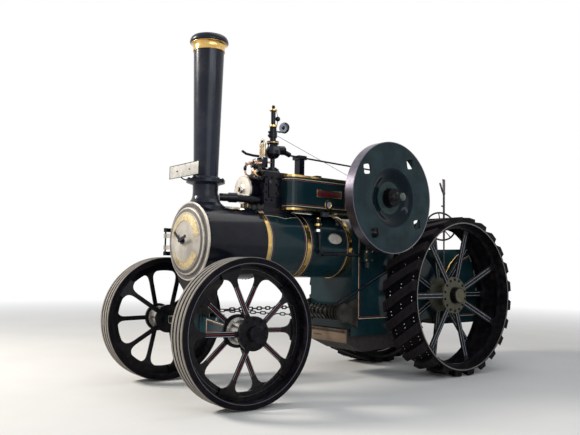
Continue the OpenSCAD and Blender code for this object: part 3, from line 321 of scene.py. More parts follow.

# %% [markdown]
# Some castings wear two finishes, with the edge at a turned shoulder. The hubs of the front wheels have a
# bright turned barrel between black flanges, the flywheel's rim is polished where the belt runs, and the
# hind hubs have a flange in bare primer. The flywheel's dish is painted darker than its flat ring, as
# painted shade in its hollow. A mask by distance from the axle picks the finish. The smokebox door is old
# plate that was never polished, half metal and half baked oil and dust, with a bright turned ring and a dark
# ring of painted shade where its edge turns back. The smokebox ring is painted dark inside its bright outer
# band, as painted shade in the groove beside the door.

# %% Finishes that change with the distance from an axle
def banded(name, base, bands, centre, axis, gloss=0.25, dust=0.05, sheen=0.09):
    """Bands are (from, to, colour, metallic, roughness, least and most distance along the axis)."""
    tree, shader = new_finish(name)
    away, along = distance_from(tree, centre, axis), distance_along(tree, centre, axis)
    colour = blend(tree, patches(tree, 5.0, 0.35, 0.7), base, shaded(base, 1.9))
    colour = blend(tree, times(tree, patches(tree, 14.0, 0.45, 0.8), dust), colour, DUST)
    rough, metallic = gloss, 0.0
    for low, high, band_colour, band_metallic, band_rough, near, far in bands:
        inside = times(tree, between(tree, away, low, high), between(tree, along, near, far))
        worn = blend(tree, patches(tree, 20.0, 0.35, 0.7), band_colour, shaded(band_colour, 0.7))
        colour = blend(tree, inside, colour, worn)
        rough = ramp(tree, inside, 0.0, 1.0, rough, band_rough)
        metallic = ramp(tree, inside, 0.0, 1.0, metallic, band_metallic)
    feed(tree, colour, shader.inputs["Base Color"])
    feed(tree, rough, shader.inputs["Roughness"])
    feed(tree, metallic, shader.inputs["Metallic"])
    shader.inputs["Specular IOR Level"].default_value = sheen
    roughen(tree, shader, 70, 0.1, 0.0012)


WHOLE = (-1.0, 9.0)
for side in SIDES:
    banded("front_wheel_paint_" + side, (0.0040, 0.0035, 0.0055),
           [(0.096, 0.1195, (0.50, 0.48, 0.45), 1.0, 0.3, -1.0, 0.1185)], front_centre[side], axle_line)
    banded("hind_wheel_paint_" + side, (0.0045, 0.004, 0.0055),
           [(0.102, 0.219, (0.115, 0.110, 0.078), 0.0, 0.5, *WHOLE),
            (-1.0, 0.090, (0.13, 0.115, 0.080), 0.2, 0.45, 0.1515, 9.0)], hind_centre[side], LEFT, 0.3, 0.06)
banded("flywheel_paint", (0.011, 0.023, 0.027),
       [(0.5985, 0.62, (0.17, 0.155, 0.19), 1.0, 0.32, *WHOLE),
        # The dish, from 0.178 to 0.322 out, is painted darker than the flat ring: painted shade in its
        # hollow.
        (0.178, 0.322, (0.0035, 0.0105, 0.016), 0.0, 0.12, *WHOLE),
        (0.112, 0.174, (0.034, 0.056, 0.054), 0.0, 0.3, *WHOLE),
        (-1.0, 0.108, (0.005, 0.005, 0.007), 0.0, 0.25, *WHOLE)], crank_centre, LEFT, 0.12, 0.02)
door_centre = Vector((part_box("smokebox_door")[1].x, 0, boiler_axis_z))
banded("door_steel", (0.30, 0.275, 0.24),
       [(0.318, 0.345, (0.60, 0.55, 0.47), 0.7, 0.35, *WHOLE),
        # The dark band from 0.286 to 0.316 is painted shade where the door's edge turns back.
        (0.286, 0.316, (0.115, 0.105, 0.10), 0.6, 0.4, *WHOLE)], door_centre, FORWARD, 0.42, 0.5, 0.5)
# The smokebox ring is painted dark inside its bright outer band: painted shade in the groove beside the door.
banded("ring_steel", (0.060, 0.055, 0.055), [(0.372, 0.42, (0.66, 0.60, 0.52), 0.7, 0.33, *WHOLE)],
       door_centre, FORWARD, 0.4, 0.3, 0.5)
print(len(finishes), "finishes with those by distance")

# %% [markdown]
# The ashpan stands in the dry heat under the fire, and shows rust and brown dust instead of paint. Only its
# front face has that colour: behind it the ashpan is painted dark, as painted shade under the engine. Coal is
# made the same way, without the rust.

# %% Rust and coal
def rusty(name, rust, scale_colour, dark, painted_shade_behind=None):
    """Rust under scale and dust, darkened in patches; behind the given front place it is painted dark as
    shade.
    """
    tree, shader = new_finish(name)
    colour = blend(tree, patches(tree, 6.0, 0.35, 0.65), rust, scale_colour)
    if painted_shade_behind is not None:
        # Behind the front face the colour is painted dark: painted shade under the engine.
        unshaded_front = ramp(tree, coordinate(tree, "X"), painted_shade_behind - 0.012, painted_shade_behind)
        colour = blend(tree, unshaded_front, dark, colour)
    colour = blend(tree, times(tree, patches(tree, 3.0, 0.45, 0.75), 0.6), colour, dark)
    feed(tree, colour, shader.inputs["Base Color"])
    feed(tree, ramp(tree, patches(tree, 25.0, 0.3, 0.7), 0.0, 1.0, 0.65, 0.92), shader.inputs["Roughness"])
    roughen(tree, shader, 90, 0.5, 0.0015)


# Only the ashpan's front face keeps the rust colour; behind it the colour is painted shade.
rusty("ashpan_rust_and_shade", (0.15, 0.098, 0.060), (0.21, 0.150, 0.098), (0.012, 0.009, 0.008),
      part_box("ashpan")[1].x - 0.006)
rusty("coal_black", (0.010, 0.010, 0.011), (0.022, 0.021, 0.022), (0.004, 0.004, 0.004))
print(len(finishes), "finishes in all")

# %% [markdown]
# Every part that is carried over gets its finish here. The black of a wheel is one paint on the rim, the
# spokes and the hub, so it goes on the whole wheel.

# %% Finishes of the carried-over parts
wearers = {
    "black_enamel": "smokebox door_hinge cylinder_block valve_stack whistle exhaust_pipe regulator_rod "
                    "clack_valve steering_column door_dart",
    "green_enamel": "boiler_barrel firebox hornplate_left hornplate_right crank_bearings motion_tray "
                    "feed_pump tender front_axle",
    "under_black": "footplate drawbar steering_drum perch_bracket firehole_door tank_lid",
    "chimney_black": "chimney_base chimney_tube chimney_cap", "polished_brass": "chimney_band boiler_bands",
    "bright_steel": "guide_bars connecting_rod hind_axle crankshaft",
    "oily_steel": "second_shaft third_shaft final_gear", "ring_steel": "smokebox_ring",
    "door_steel": "smokebox_door", "cover_steel": "cylinder_cover", "chain_steel": "steering_chains",
    "lever_steel": "reversing_lever", "gauge_metal": "pressure_gauge", "old_bronze": "lubricator",
    "ashpan_rust_and_shade": "ashpan", "flywheel_paint": "flywheel",
}
for side in SIDES:
    wearers["front_wheel_paint_" + side] = "front_wheel_" + side
    wearers["front_rubber_" + side] = "front_tyre_" + side
    wearers["hind_wheel_paint_" + side] = "hind_wheel_" + side
    wearers["lug_rubber_" + side] = "hind_lugs_" + side
finish_of = {node: finish for finish, nodes in wearers.items() for node in nodes.split()}
for node, finish in finish_of.items():
    for material_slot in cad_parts[node].material_slots:
        material_slot.material = finishes[finish]
print(len(finish_of), "parts have their finish;", set(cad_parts) - set(finish_of), "are left")

# %% [markdown]
# The small pieces come from a handful of builders. Each starts from a bmesh operator: a profile is spun to a
# turned part, a ring of points is drawn along a path to a pipe, and a cube is stretched and bevelled to a
# plate.

# %% Builders for the pieces
SUNK = 0.0005


def facing(axis):
    return Vector(axis).normalized().to_track_quat("Z", "Y").to_matrix().to_4x4()


def only(kind, geometry):
    return [item for item in geometry if isinstance(item, kind)]


def edges_within(verts):
    return [e for e in {e for v in verts for e in v.link_edges} if all(v in verts for v in e.verts)]


def outline(bm, spots, closed=False):
    """New points, joined one after another, and their edges."""
    line = [bm.verts.new(spot) for spot in spots]
    pairs = list(zip(line, line[1:])) + ([(line[-1], line[0])] if closed else [])
    return line, [bm.edges.new(pair) for pair in pairs]


def turned(bm, centre, axis, profile, steps=32, closed=False):
    """Spins a profile of (radius, distance along the axis) about the axis."""
    axis = Vector(axis).normalized()
    side = axis.cross(UP if abs(axis.z) < 0.9 else FORWARD).normalized()
    spots = [Vector(centre) + side * radius + axis * along for radius, along in profile]
    line, edges = outline(bm, spots, closed)
    bmesh.ops.spin(bm, geom=line + edges, cent=centre, axis=axis, angle=tau, steps=steps, use_merge=True)
    bmesh.ops.remove_doubles(bm, verts=bm.verts, dist=1e-5)


def square_ring(bm, centre, axis, inner, outer, low, high, steps):
    """A ring with a square section, from low to high along its axis."""
    turned(bm, centre, axis, [(inner, low), (outer, low), (outer, high), (inner, high)], steps, True)


def tube(bm, points, radius, segments=10):
    """A round pipe along points, closed at both ends."""
    points = [Vector(p) for p in points]
    for index, point in enumerate(points):
        before = (point - points[index - 1] if index else points[1] - point).normalized()
        after = (points[index + 1] - point).normalized() if index + 1 < len(points) else before
        heading_here = (before + after).normalized()
        if index == 0:
            ring = bmesh.ops.create_circle(bm, segments=segments, radius=radius, cap_ends=True,
                                           matrix=Matrix.Translation(point) @ facing(heading_here))["verts"]
        else:
            grown = bmesh.ops.extrude_edge_only(bm, edges=edges_within(ring))["geom"]
            ring = only(bmesh.types.BMVert, grown)
            turn = last_heading.rotation_difference(heading_here).to_matrix().to_4x4()
            move = Matrix.Translation(point) @ turn @ Matrix.Translation(-last_point)
            bmesh.ops.transform(bm, verts=ring, matrix=move)
        last_point, last_heading = point, heading_here
    bmesh.ops.contextual_create(bm, geom=edges_within(ring))


def plate(bm, centre, size, bevel=0.0, turn=None):
    """A flat plate or block with its edges rounded."""
    matrix = Matrix.Translation(centre) @ (turn or Matrix.Identity(4)) @ Matrix.Diagonal((*size, 1))
    corners = bmesh.ops.create_cube(bm, size=1, matrix=matrix)["verts"]
    if bevel:
        edges = list({e for v in corners for e in v.link_edges})
        bmesh.ops.bevel(bm, geom=edges, offset=bevel, segments=2, profile=0.5, affect="EDGES", material=-1)


def stub(bm, place, axis, middle, sides, foot, top, height):
    """A short cone on a surface, whose middle lies some way out from a place along an axis."""
    spot = Vector(place) + Vector(axis).normalized() * middle
    bmesh.ops.create_cone(bm, cap_ends=True, segments=sides, radius1=foot, radius2=top, depth=height,
                          matrix=Matrix.Translation(spot) @ facing(axis))


def rivet(bm, place, axis, radius, height):
    """A low dome: a short cone with a wide top."""
    stub(bm, place, axis, height / 2 - SUNK, 8, radius, radius * 0.55, height)


def nut(bm, place, axis, across_flats, height):
    """A hexagon nut on the end of its stud."""
    stub(bm, place, axis, height / 2 - SUNK, 6, across_flats / 1.732, across_flats / 1.8, height)
    stub(bm, place, axis, height + 0.0015, 8, across_flats * 0.30, across_flats * 0.24, 0.006)


def strip(bm, path, across_way, width, thick):
    """A thin band of paint or beading: a path widened one way and given a thickness."""
    edges = outline(bm, [Vector(p) - Vector(across_way) * width / 2 for p in path])[1]
    grown = bmesh.ops.extrude_edge_only(bm, edges=edges)["geom"]
    bmesh.ops.translate(bm, verts=only(bmesh.types.BMVert, grown), vec=Vector(across_way) * width)
    faces = only(bmesh.types.BMFace, grown)
    bmesh.ops.recalc_face_normals(bm, faces=faces)
    bmesh.ops.solidify(bm, geom=faces, thickness=thick)


def as_piece(name, bm, finish, body="engine", crease=35):
    """Turns the bmesh into an object that rides on a body, shaded smooth up to the crease angle."""
    bmesh.ops.recalc_face_normals(bm, faces=bm.faces)
    mesh = bpy.data.meshes.new(name)
    bm.to_mesh(mesh)
    bm.free()
    mesh.shade_smooth()
    mesh.set_sharp_from_angle(angle=radians(crease))
    mesh.materials.append(finishes[finish])
    piece = bpy.data.objects.new(name, mesh)
    scene.collection.objects.link(piece)
    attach(piece, body)
    print(name, len(mesh.polygons), "faces")
    return piece


def on_circle(centre, first, second, radius, degrees):
    """A point on a circle, by its angle from the first direction toward the second."""
    angle = radians(degrees)
    return Vector(centre) + (Vector(first) * cos(angle) + Vector(second) * sin(angle)) * radius


print("builders are ready")

# %% [markdown]
# The lining of the boiler: each brass band has a cream line close on both sides and a red line farther out.
# They are rings of paint, little more than half a millimetre proud of the lagging.

# %% Boiler lining
bands_at = [barrel_low.x + 0.030, hind_axle.x + 1.971, barrel_high.x - 0.030]
for name, finish, offset, width in (("boiler_cream_lines", "cream_line", 0.036, 0.007),
                                    ("boiler_red_lines", "red_line", 0.054, 0.004)):
    bm = bmesh.new()
    for x in [band + away for band in bands_at for away in (-offset, offset)]:
        if barrel_low.x < x < barrel_high.x:
            square_ring(bm, (x, 0, boiler_axis_z), FORWARD, barrel_radius, barrel_radius + 0.0006,
                        -width / 2, width / 2, 72)
    as_piece(name, bm, finish)

# %% [markdown]
# The smokebox is lapped and riveted. Two rows of snap-head rivets run round it, one near each end.

# %% Smokebox rivets
front_row, rivets_round, under_chimney = smokebox_front - 0.052, 42, 0.93
bm = bmesh.new()
for x in (front_row, barrel_high.x + 0.030):
    for i in range(rivets_round):
        way = FORWARD.cross(on_circle(ORIGIN, LEFT, UP, 1, i * 360 / rivets_round)).cross(FORWARD)
        if x != front_row or way.z <= under_chimney:
            rivet(bm, Vector((x, 0, boiler_axis_z)) + way * smokebox_radius, way, 0.009, 0.006)
as_piece("smokebox_rivets", bm, "black_enamel")

# %% [markdown]
# The door carries two plain brass arcs, one over and one under the dart. They are cut from sheet and follow
# the dish of the door. The real ones are lettered, and here they stay blank.

# %% Brass arcs on the smokebox door
door_axis = Vector((smokebox_front + 0.0009, 0, boiler_axis_z))
arc_profile = [(0.198, 0.0475), (0.270, 0.0335), (0.272, 0.0375), (0.200, 0.0525)]
bm = bmesh.new()
for start, sweep, steps in ((10, 160, 28), (213, 117, 22)):
    way = on_circle(ORIGIN, LEFT, UP, 1, start)
    line = [bm.verts.new(door_axis + way * radius + FORWARD * along) for radius, along in arc_profile]
    face = bm.faces.new(line)
    bmesh.ops.spin(bm, geom=[face] + line + list(face.edges), cent=door_axis, axis=FORWARD,
                   angle=radians(sweep), steps=steps)
as_piece("door_arcs", bm, "pale_brass", "smokebox_door")

bm = bmesh.new()
for start, end, count in ((14, 166, 5), (217, 326, 4)):
    for i in range(count):
        spot = on_circle(door_axis, LEFT, UP, 0.236, start + (end - start) * i / (count - 1))
        rivet(bm, spot + FORWARD * 0.0445, FORWARD, 0.005, 0.004)
as_piece("door_arc_studs", bm, "bright_steel", "smokebox_door")

# %% [markdown]
# The number plate hangs across the front of the chimney on two rods from its flange. It is a pale enamelled
# sheet in a thin raised edge, and is left without characters.

# %% Blank number plate
plate_centre = at(3.300, 0.005, 2.165)
edge_centre = plate_centre + FORWARD * 0.0015
bm = bmesh.new()
plate(bm, plate_centre, (0.004, 0.57, 0.13), 0.0015)
as_piece("number_plate", bm, "plate_white")
bm = bmesh.new()
for way in (-1, 1):
    plate(bm, edge_centre + UP * way * 0.063, (0.005, 0.574, 0.006), 0.0012)
    plate(bm, edge_centre + LEFT * way * 0.285, (0.005, 0.006, 0.13), 0.0012)
for left in (-0.12, 0.12):
    tube(bm, [at(x, left, z) for x, z in ((3.190, 2.088), (3.230, 2.094), (3.286, 2.125), (3.2965, 2.165))],
         0.007)
    nut(bm, at(3.302, left, 2.165), FORWARD, 0.014, 0.006)
as_piece("number_plate_bracket", bm, "black_enamel")

# %% [markdown]
# Where the chimney meets its base, two flanges are bolted together by twelve bolts, evenly spaced.

# %% Chimney bolts
bm = bmesh.new()
for i in range(12):
    nut(bm, on_circle(at(3.046, 0, 2.094), FORWARD, LEFT, 0.172, 15 + i * 30), UP, 0.024, 0.012)
as_piece("chimney_bolts", bm, "black_enamel")

# %% [markdown]
# The chimney's top is a brass band with an upright side, whose upper edge flares to the underside of a black
# rolled lip. The lip is widest at its foot and rounds in to a narrower mouth. Both are turned to a finer
# outline than the plain pieces of the frame that they stand in for.

# %% Chimney top
band_z, cap_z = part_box("chimney_band")[0].z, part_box("chimney_cap")[1].z
lip_z = cap_z - 0.078
chimney_foot = Vector((chimney_axis.x, 0, 0))
bm = bmesh.new()
turned(bm, chimney_foot, UP, [
    (0.148, band_z), (0.160, band_z), (0.163, band_z + 0.004), (0.163, band_z + 0.008),
    (0.1605, band_z + 0.012), (0.1605, lip_z - 0.024), (0.164, lip_z - 0.014), (0.174, lip_z - 0.006),
    (0.188, lip_z - 0.002), (0.188, lip_z), (0.148, lip_z)], 96, True)
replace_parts(as_piece("chimney_brass_top", bm, "polished_brass"), "chimney_band")
rolled = [(0.1965 - 0.0445 * (1 - cos(radians(a))), lip_z + 0.012 + 0.064 * sin(radians(a)))
          for a in range(0, 91, 10)]
bm = bmesh.new()
turned(bm, chimney_foot, UP, [(0.148, lip_z + 0.0003), (0.190, lip_z + 0.0003)] + rolled + [
    (0.122, cap_z), (0.118, cap_z - 0.004), (0.118, cap_z - 0.012)], 96, True)
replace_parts(as_piece("chimney_lip", bm, "chimney_black"), "chimney_cap")

# %% [markdown]
# The front cover of the cylinder is a bright lagging disc that hides its studs. In its middle is the small
# brass gland of the tail rod.

# %% Cylinder cover
cover_centre = centre_of("cylinder_cover")
cover_centre.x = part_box("cylinder_cover")[0].x
bm = bmesh.new()
turned(bm, cover_centre + FORWARD * 0.052, FORWARD, [
    (0, 0.020), (0.010, 0.020), (0.014, 0.017), (0.014, 0.008), (0.026, 0.008), (0.028, 0.004), (0.028, 0.0),
    (0, 0.0)], 24)
as_piece("cover_gland", bm, "polished_brass")
bm = bmesh.new()
bead = [(0.139, 0.0), (0.141, 0.003), (0.147, 0.003), (0.149, 0.0)]
turned(bm, cover_centre + FORWARD * 0.018, FORWARD, bead, 64, True)
as_piece("cover_bead", bm, "cover_steel")

# %% [markdown]
# The valve chest's side cover and the block's foot are held by rows of studs.

# %% Studs on the cylinder block
stud_rows, stud_columns = (1.93, 2.01, 2.09, 2.17), (2.165, 2.255, 2.345, 2.415)
bm = bmesh.new()
for z in stud_rows:
    for x in stud_columns:
        if x in (stud_columns[0], stud_columns[-1]) or z in (stud_rows[0], stud_rows[-1]):
            nut(bm, at(x, 0.180, z), LEFT, 0.024, 0.012)
for z in stud_rows:
    nut(bm, at(2.440, 0.155, z), FORWARD, 0.022, 0.012)
for x in (2.15, 2.23, 2.31, 2.39):
    nut(bm, at(x, -0.250, 1.90), -LEFT, 0.024, 0.012)
for z in (2.00, 2.10):
    nut(bm, at(2.290, 0.1935, z), LEFT, 0.030, 0.014)
as_piece("block_studs", bm, "black_enamel")
cover_left, cover_thick = 0.1865, 0.0135
bm = bmesh.new()
for x, z, length, height, bevel in ((2.290, 2.050, 0.205, 0.190, 0.004), (2.282, 1.892, 0.330, 0.010, 0.003),
                                    (2.282, 1.868, 0.330, 0.010, 0.003), (2.136, 2.050, 0.018, 0.300, 0.004)):
    plate(bm, at(x, cover_left, z), (length, cover_thick, height), bevel)
as_piece("valve_chest_cover", bm, "black_enamel")

# %% [markdown]
# A cream line runs on the boiler round the foot of the cylinder, where the black casting meets the green
# lagging. It bows out in the middle, as the casting's saddle does.

# %% Lining round the cylinder's foot
foot_line = [(2.462, 0.206), (2.400, 0.204), (2.341, 0.205), (2.278, 0.212), (2.240, 0.224), (2.207, 0.233),
             (2.160, 0.224), (2.116, 0.211), (2.060, 0.204), (2.012, 0.203)]
line_radius = barrel_radius + 0.001
bm = bmesh.new()
for side in (1, -1):
    path = [at(x, side * y, boiler_axis_z + sqrt(line_radius ** 2 - y ** 2)) for x, y in foot_line]
    tube(bm, path, 0.0032, 6)
as_piece("cylinder_foot_line", bm, "cream_line")

# %% [markdown]
# Copper and brass fittings crowd the front of the cylinder: a copper pipe that bends from the cover up over
# the block, shorter ones beside and below it, an oil cup, stop valves, and cocks at their ends.

# %% Pipes and cocks at the cylinder
copper_runs = (
    (0.0105, (2.560, 0, 2.195), (2.572, 0, 2.234), (2.560, 0, 2.288), (2.516, 0, 2.330), (2.444, 0, 2.349),
     (2.340, 0, 2.355), (2.240, 0, 2.359)),
    (0.008, (2.560, 0, 2.199), (2.521, 0, 2.187), (2.475, 0, 2.160), (2.425, 0, 2.130)),
    (0.010, (2.498, 0.060, 2.290), (2.512, 0.072, 2.240), (2.504, 0.086, 2.200), (2.470, 0.092, 2.176),
     (2.441, 0.092, 2.166)),
    (0.009, (2.530, -0.060, 2.330), (2.500, -0.030, 2.318), (2.470, 0.010, 2.318), (2.452, 0.050, 2.322),
     (2.400, 0.060, 2.330)))
bm = bmesh.new()
for radius, *spots in copper_runs:
    tube(bm, [at(*spot) for spot in spots], radius)
as_piece("copper_pipes", bm, "copper")
bm = bmesh.new()
oil_cup = at(2.480, 0.045, 2.225)
turned(bm, oil_cup, UP, [(0, -0.052), (0.012, -0.050), (0.014, -0.034), (0.030, -0.026), (0.036, -0.006),
                         (0.036, 0.016), (0.028, 0.030), (0.014, 0.036), (0.012, 0.048), (0, 0.048)], 24)
tube(bm, [oil_cup - UP * 0.020, at(2.4385, 0.045, 2.205)], 0.011)
as_piece("oil_cup", bm, "old_bronze")
bm = bmesh.new()
for spot, way in ((at(2.500, 0.078, 2.281), FORWARD), (at(2.480, 0.137, 2.150), LEFT)):
    handwheel = spot + way * 0.040
    turned(bm, spot, way, [(0, -0.030), (0.014, -0.030), (0.026, -0.018), (0.028, 0.004), (0.018, 0.018),
                           (0.010, 0.022), (0.010, 0.036), (0, 0.036)], 18)
    turned(bm, handwheel, way, [(0.017, -0.004), (0.021, -0.003), (0.021, 0.003), (0.017, 0.004)], 18, True)
    for turn in (0, 90):
        arm = on_circle(ORIGIN, UP, way.cross(UP), 0.019, turn)
        tube(bm, [handwheel - arm, handwheel + arm], 0.003, 6)
as_piece("stop_valves", bm, "black_enamel")
bm = bmesh.new()
for spot in (at(2.572, 0, 2.262), at(2.470, 0, 2.330)):
    turned(bm, spot, UP, [(0, -0.024), (0.012, -0.024), (0.017, -0.012), (0.017, 0.010), (0.010, 0.022),
                          (0, 0.022)], 16)
    tube(bm, [spot + UP * 0.018, spot + UP * 0.034, spot + UP * 0.038 + LEFT * 0.045], 0.005, 8)
as_piece("pipe_cocks", bm, "black_enamel")
bm = bmesh.new()
for spot in (at(2.505, -0.115, 1.902), at(2.509, -0.025, 1.902)):
    turned(bm, spot, UP, [(0, -0.030), (0.007, -0.030), (0.009, -0.008), (0.014, -0.006), (0.014, 0.008),
                          (0.008, 0.012), (0, 0.012)], 14)
    tube(bm, [spot - UP * 0.026, spot - UP * 0.050, spot - UP * 0.060 + FORWARD * 0.020], 0.006, 8)
as_piece("drain_cocks", bm, "polished_brass")

# %% [markdown]
# A black bent handle works the regulator from the front of the block. Beside the whistle a thin wire holds a
# small black ball, the end of the whistle's lever.

# %% Handle and whistle ball
bm = bmesh.new()
tube(bm, [at(2.200, -0.10, 2.436), at(2.328, -0.10, 2.431), at(2.403, -0.10, 2.430), at(2.495, -0.10, 2.438),
          at(2.545, -0.10, 2.462)], 0.014)
tube(bm, [at(2.205, -0.02, 2.436), at(2.205, -0.10, 2.436)], 0.012)
as_piece("bent_handle", bm, "black_enamel")
bm = bmesh.new()
tube(bm, [at(2.196, 0, 2.742), at(2.165, 0, 2.770), at(2.153, 0, 2.835)], 0.0045, 6)
tube(bm, [at(2.153, 0, 2.870), at(2.168, 0, 2.920), at(2.196, 0, 2.934)], 0.003, 6)
bmesh.ops.create_uvsphere(bm, u_segments=20, v_segments=12, radius=0.028,
                          matrix=Matrix.Translation(at(2.153, 0, 2.850)))
as_piece("whistle_ball", bm, "black_enamel")

# %% [markdown]
# The whistle's wire starts at the whistle's valve and runs back beside the regulator rod. It passes an eye on
# a collar, clamped round the rod's drop to the firebox, and ends in a pull ring over the backhead.

# %% Whistle wire
wire_left, wire_radius = 0.0185, 0.0028
drop = at(0.420, 0, 2.1177)
bm = bmesh.new()
tube(bm, [at(x, wire_left, z) for x, z in ((2.196, 2.6664), (1.136, 2.333), (0.420, 2.1177), (0.398, 2.106),
                                           (0.389, 2.088), (0.388, 1.990))], wire_radius, 6)
square_ring(bm, at(0.388, wire_left, 1.966), LEFT, 0.020, 0.026, -0.004, 0.004, 20)
as_piece("whistle_wire", bm, "lever_steel")
bm = bmesh.new()
square_ring(bm, drop, UP, 0.0102, 0.015, -0.008, 0.008, 20)
square_ring(bm, drop + LEFT * wire_left, FORWARD, 0.0035, 0.008, -0.003, 0.003, 16)
as_piece("wire_eye", bm, "lever_steel")

# %% [markdown]
# The whistle is dark with a gold collar near its top, and a gold ring marks the foot of its bell. A third
# ring, narrower, lies lower on the valve stack.

# %% Collars on the valve stack
bm = bmesh.new()
turned(bm, at(2.214, 0, 2.9375), UP, [(0.020, -0.009), (0.042, -0.008), (0.043, 0.0), (0.042, 0.008),
                                      (0.020, 0.009)], 28, True)
turned(bm, at(2.214, 0, 2.762), UP, [(0.030, -0.012), (0.041, -0.011), (0.043, 0.0), (0.041, 0.011),
                                     (0.030, 0.012)], 28, True)
turned(bm, at(2.214, 0, 2.577), UP, [(0.055, -0.004), (0.0675, -0.003), (0.0675, 0.003), (0.055, 0.004)],
       28, True)
as_piece("stack_collars", bm, "polished_brass")

# %% [markdown]
# The pressure gauge faces the driver. From the front only its back and the edge of its black rim are seen, so
# the back gets a black boss where the pipe enters, and the rear gets a plain white dial behind the rim.

# %% Pressure gauge
gauge_centre = at(2.064, 0, 2.765)
gauge_axis = Vector((cos(radians(16)), sin(radians(16)), 0))
bm = bmesh.new()
turned(bm, gauge_centre, gauge_axis, [(0.0555, 0.004), (0.0605, 0.002), (0.0625, -0.012), (0.0605, -0.020),
                                      (0.052, -0.0215), (0.050, -0.016), (0.0555, -0.0155)], 40, True)
as_piece("gauge_rim", bm, "black_enamel")
bm = bmesh.new()
turned(bm, gauge_centre - gauge_axis * 0.0152, gauge_axis, [(0, -0.0012), (0.051, -0.0012), (0.051, 0.0008),
                                                            (0, 0.0008)], 32)
as_piece("gauge_dial", bm, "plate_white")
bm = bmesh.new()
turned(bm, gauge_centre + gauge_axis * 0.0150, gauge_axis, [(0, 0.012), (0.012, 0.011), (0.020, 0.004),
                                                            (0.022, -0.001), (0, -0.001)], 24)
as_piece("gauge_boss", bm, "black_enamel")

# %% [markdown]
# The lubricator's stand is black, and its two sight columns end in steel caps joined by a thin rod with a
# black knob.

# %% Lubricator
bm = bmesh.new()
for left in (-0.024, 0.024):
    for z in (2.402, 2.548):
        turned(bm, at(2.350, left, z), UP, [(0.019, -0.008), (0.024, -0.007), (0.024, 0.007), (0.019, 0.008)],
               20, True)
tube(bm, [at(2.350, 0, 2.556), at(2.350, 0, 2.612)], 0.008, 8)
as_piece("lubricator_rings", bm, "bright_steel")
bm = bmesh.new()
plate(bm, at(2.350, 0, 2.345), (0.070, 0.106, 0.1085), 0.003)
turned(bm, at(2.350, 0, 2.570), UP, [(0, -0.016), (0.012, -0.015), (0.020, -0.006), (0.020, 0.008),
                                     (0.010, 0.016), (0, 0.017)], 18)
as_piece("lubricator_base", bm, "black_enamel")

# %% [markdown]
# The motion tray is dressed like a coach panel: brass beading along its top and bottom edges, then a cream
# line and a red line inside the border. The beading runs down both sides and round the front corners, and
# stops where the cylinder passes through.

# %% Motion tray
tray_low, tray_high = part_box("motion_tray")
corner_radius, block_side = 0.095, 0.197
half_tray = tray_high.y


def tray_band(bm, z, width, out, thick):
    """A band along the tray's sides and front corners, some way outside its plate."""
    centre = Vector((tray_high.x - corner_radius, half_tray - corner_radius, z))
    left_side = [Vector((tray_low.x + 0.004, half_tray + out, z))]
    left_side += [on_circle(centre, LEFT, FORWARD, corner_radius + out, angle) for angle in range(0, 91, 10)]
    left_side.append(Vector((tray_high.x + out, block_side, z)))
    right_side = [Vector((p.x, -p.y, z)) for p in left_side[:-2]]
    right_side.append(Vector((tray_high.x - 0.030, -(half_tray - 0.031), z)))
    strip(bm, left_side, UP, width, -thick)
    strip(bm, right_side, UP, width, thick)


def tray_line(name, finish, inset, width):
    bm = bmesh.new()
    for z in (tray_high.z - inset, tray_low.z + inset):
        tray_band(bm, z, width, 0.0002, 0.0008)
    for side in (1, -1):
        plate(bm, Vector((tray_low.x + inset, side * (half_tray + 0.0005), (tray_low.z + tray_high.z) / 2)),
              (width, 0.001, tray_high.z - tray_low.z - 2 * inset))
    as_piece(name, bm, finish)


bm = bmesh.new()
for z in (tray_high.z - 0.011, tray_low.z + 0.013):
    tray_band(bm, z, 0.022, 0.0005, 0.005)
as_piece("tray_beading", bm, "polished_brass")
tray_line("tray_cream_line", "cream_line", 0.044, 0.006)
tray_line("tray_red_line", "red_line", 0.060, 0.004)

# %% [markdown]
# On each side of the tray is a long red nameplate in a gold frame and, under the left one, a round pale badge
# in a brass ring. They stay blank.

# %% Blank nameplates and badge on the tray
for side, word in ((1, "left"), (-1, "right")):
    length, height = 0.35, 0.075
    centre = at(1.685, side * half_tray, 2.030)
    bm = bmesh.new()
    plate(bm, centre + LEFT * side * 0.002, (length, 0.004, height), 0.001)
    as_piece("nameplate_" + word + "_field", bm, "plate_red")
    bm = bmesh.new()
    for way in (-1, 1):
        edge = centre + LEFT * side * 0.003
        plate(bm, edge + UP * way * height / 2, (length + 0.010, 0.006, 0.009), 0.002)
        plate(bm, edge + FORWARD * way * length / 2, (0.009, 0.006, height + 0.010), 0.002)
    as_piece("nameplate_" + word + "_frame", bm, "polished_brass")

badge = at(1.69, half_tray, 1.914)
bm = bmesh.new()
turned(bm, badge, LEFT, [(0, 0.003), (0.036, 0.003), (0.036, 0.0), (0, 0.0)], 36)
as_piece("badge_field", bm, "badge_blue")
bm = bmesh.new()
turned(bm, badge, LEFT, [(0.030, 0.0), (0.030, 0.004), (0.034, 0.007), (0.052, 0.006), (0.055, 0.0)],
       36, True)
as_piece("badge_ring", bm, "polished_brass")

# %% [markdown]
# An oval plate on the barrel's side follows its curve. It is pale, with a copper rim, and blank.

# %% Blank oval plate on the barrel
oval_centre = at(1.603, 0, 1.548)


def oval(bm, wide, high, out, steps=36):
    """The edges of an oval that lies on the barrel, some way out from it."""
    spots = []
    for i in range(steps):
        z = oval_centre.z + sin(i * tau / steps) * high
        left = sqrt((barrel_radius + out) ** 2 - (z - boiler_axis_z) ** 2)
        spots.append(Vector((oval_centre.x + cos(i * tau / steps) * wide, left, z)))
    return outline(bm, spots, True)[1]


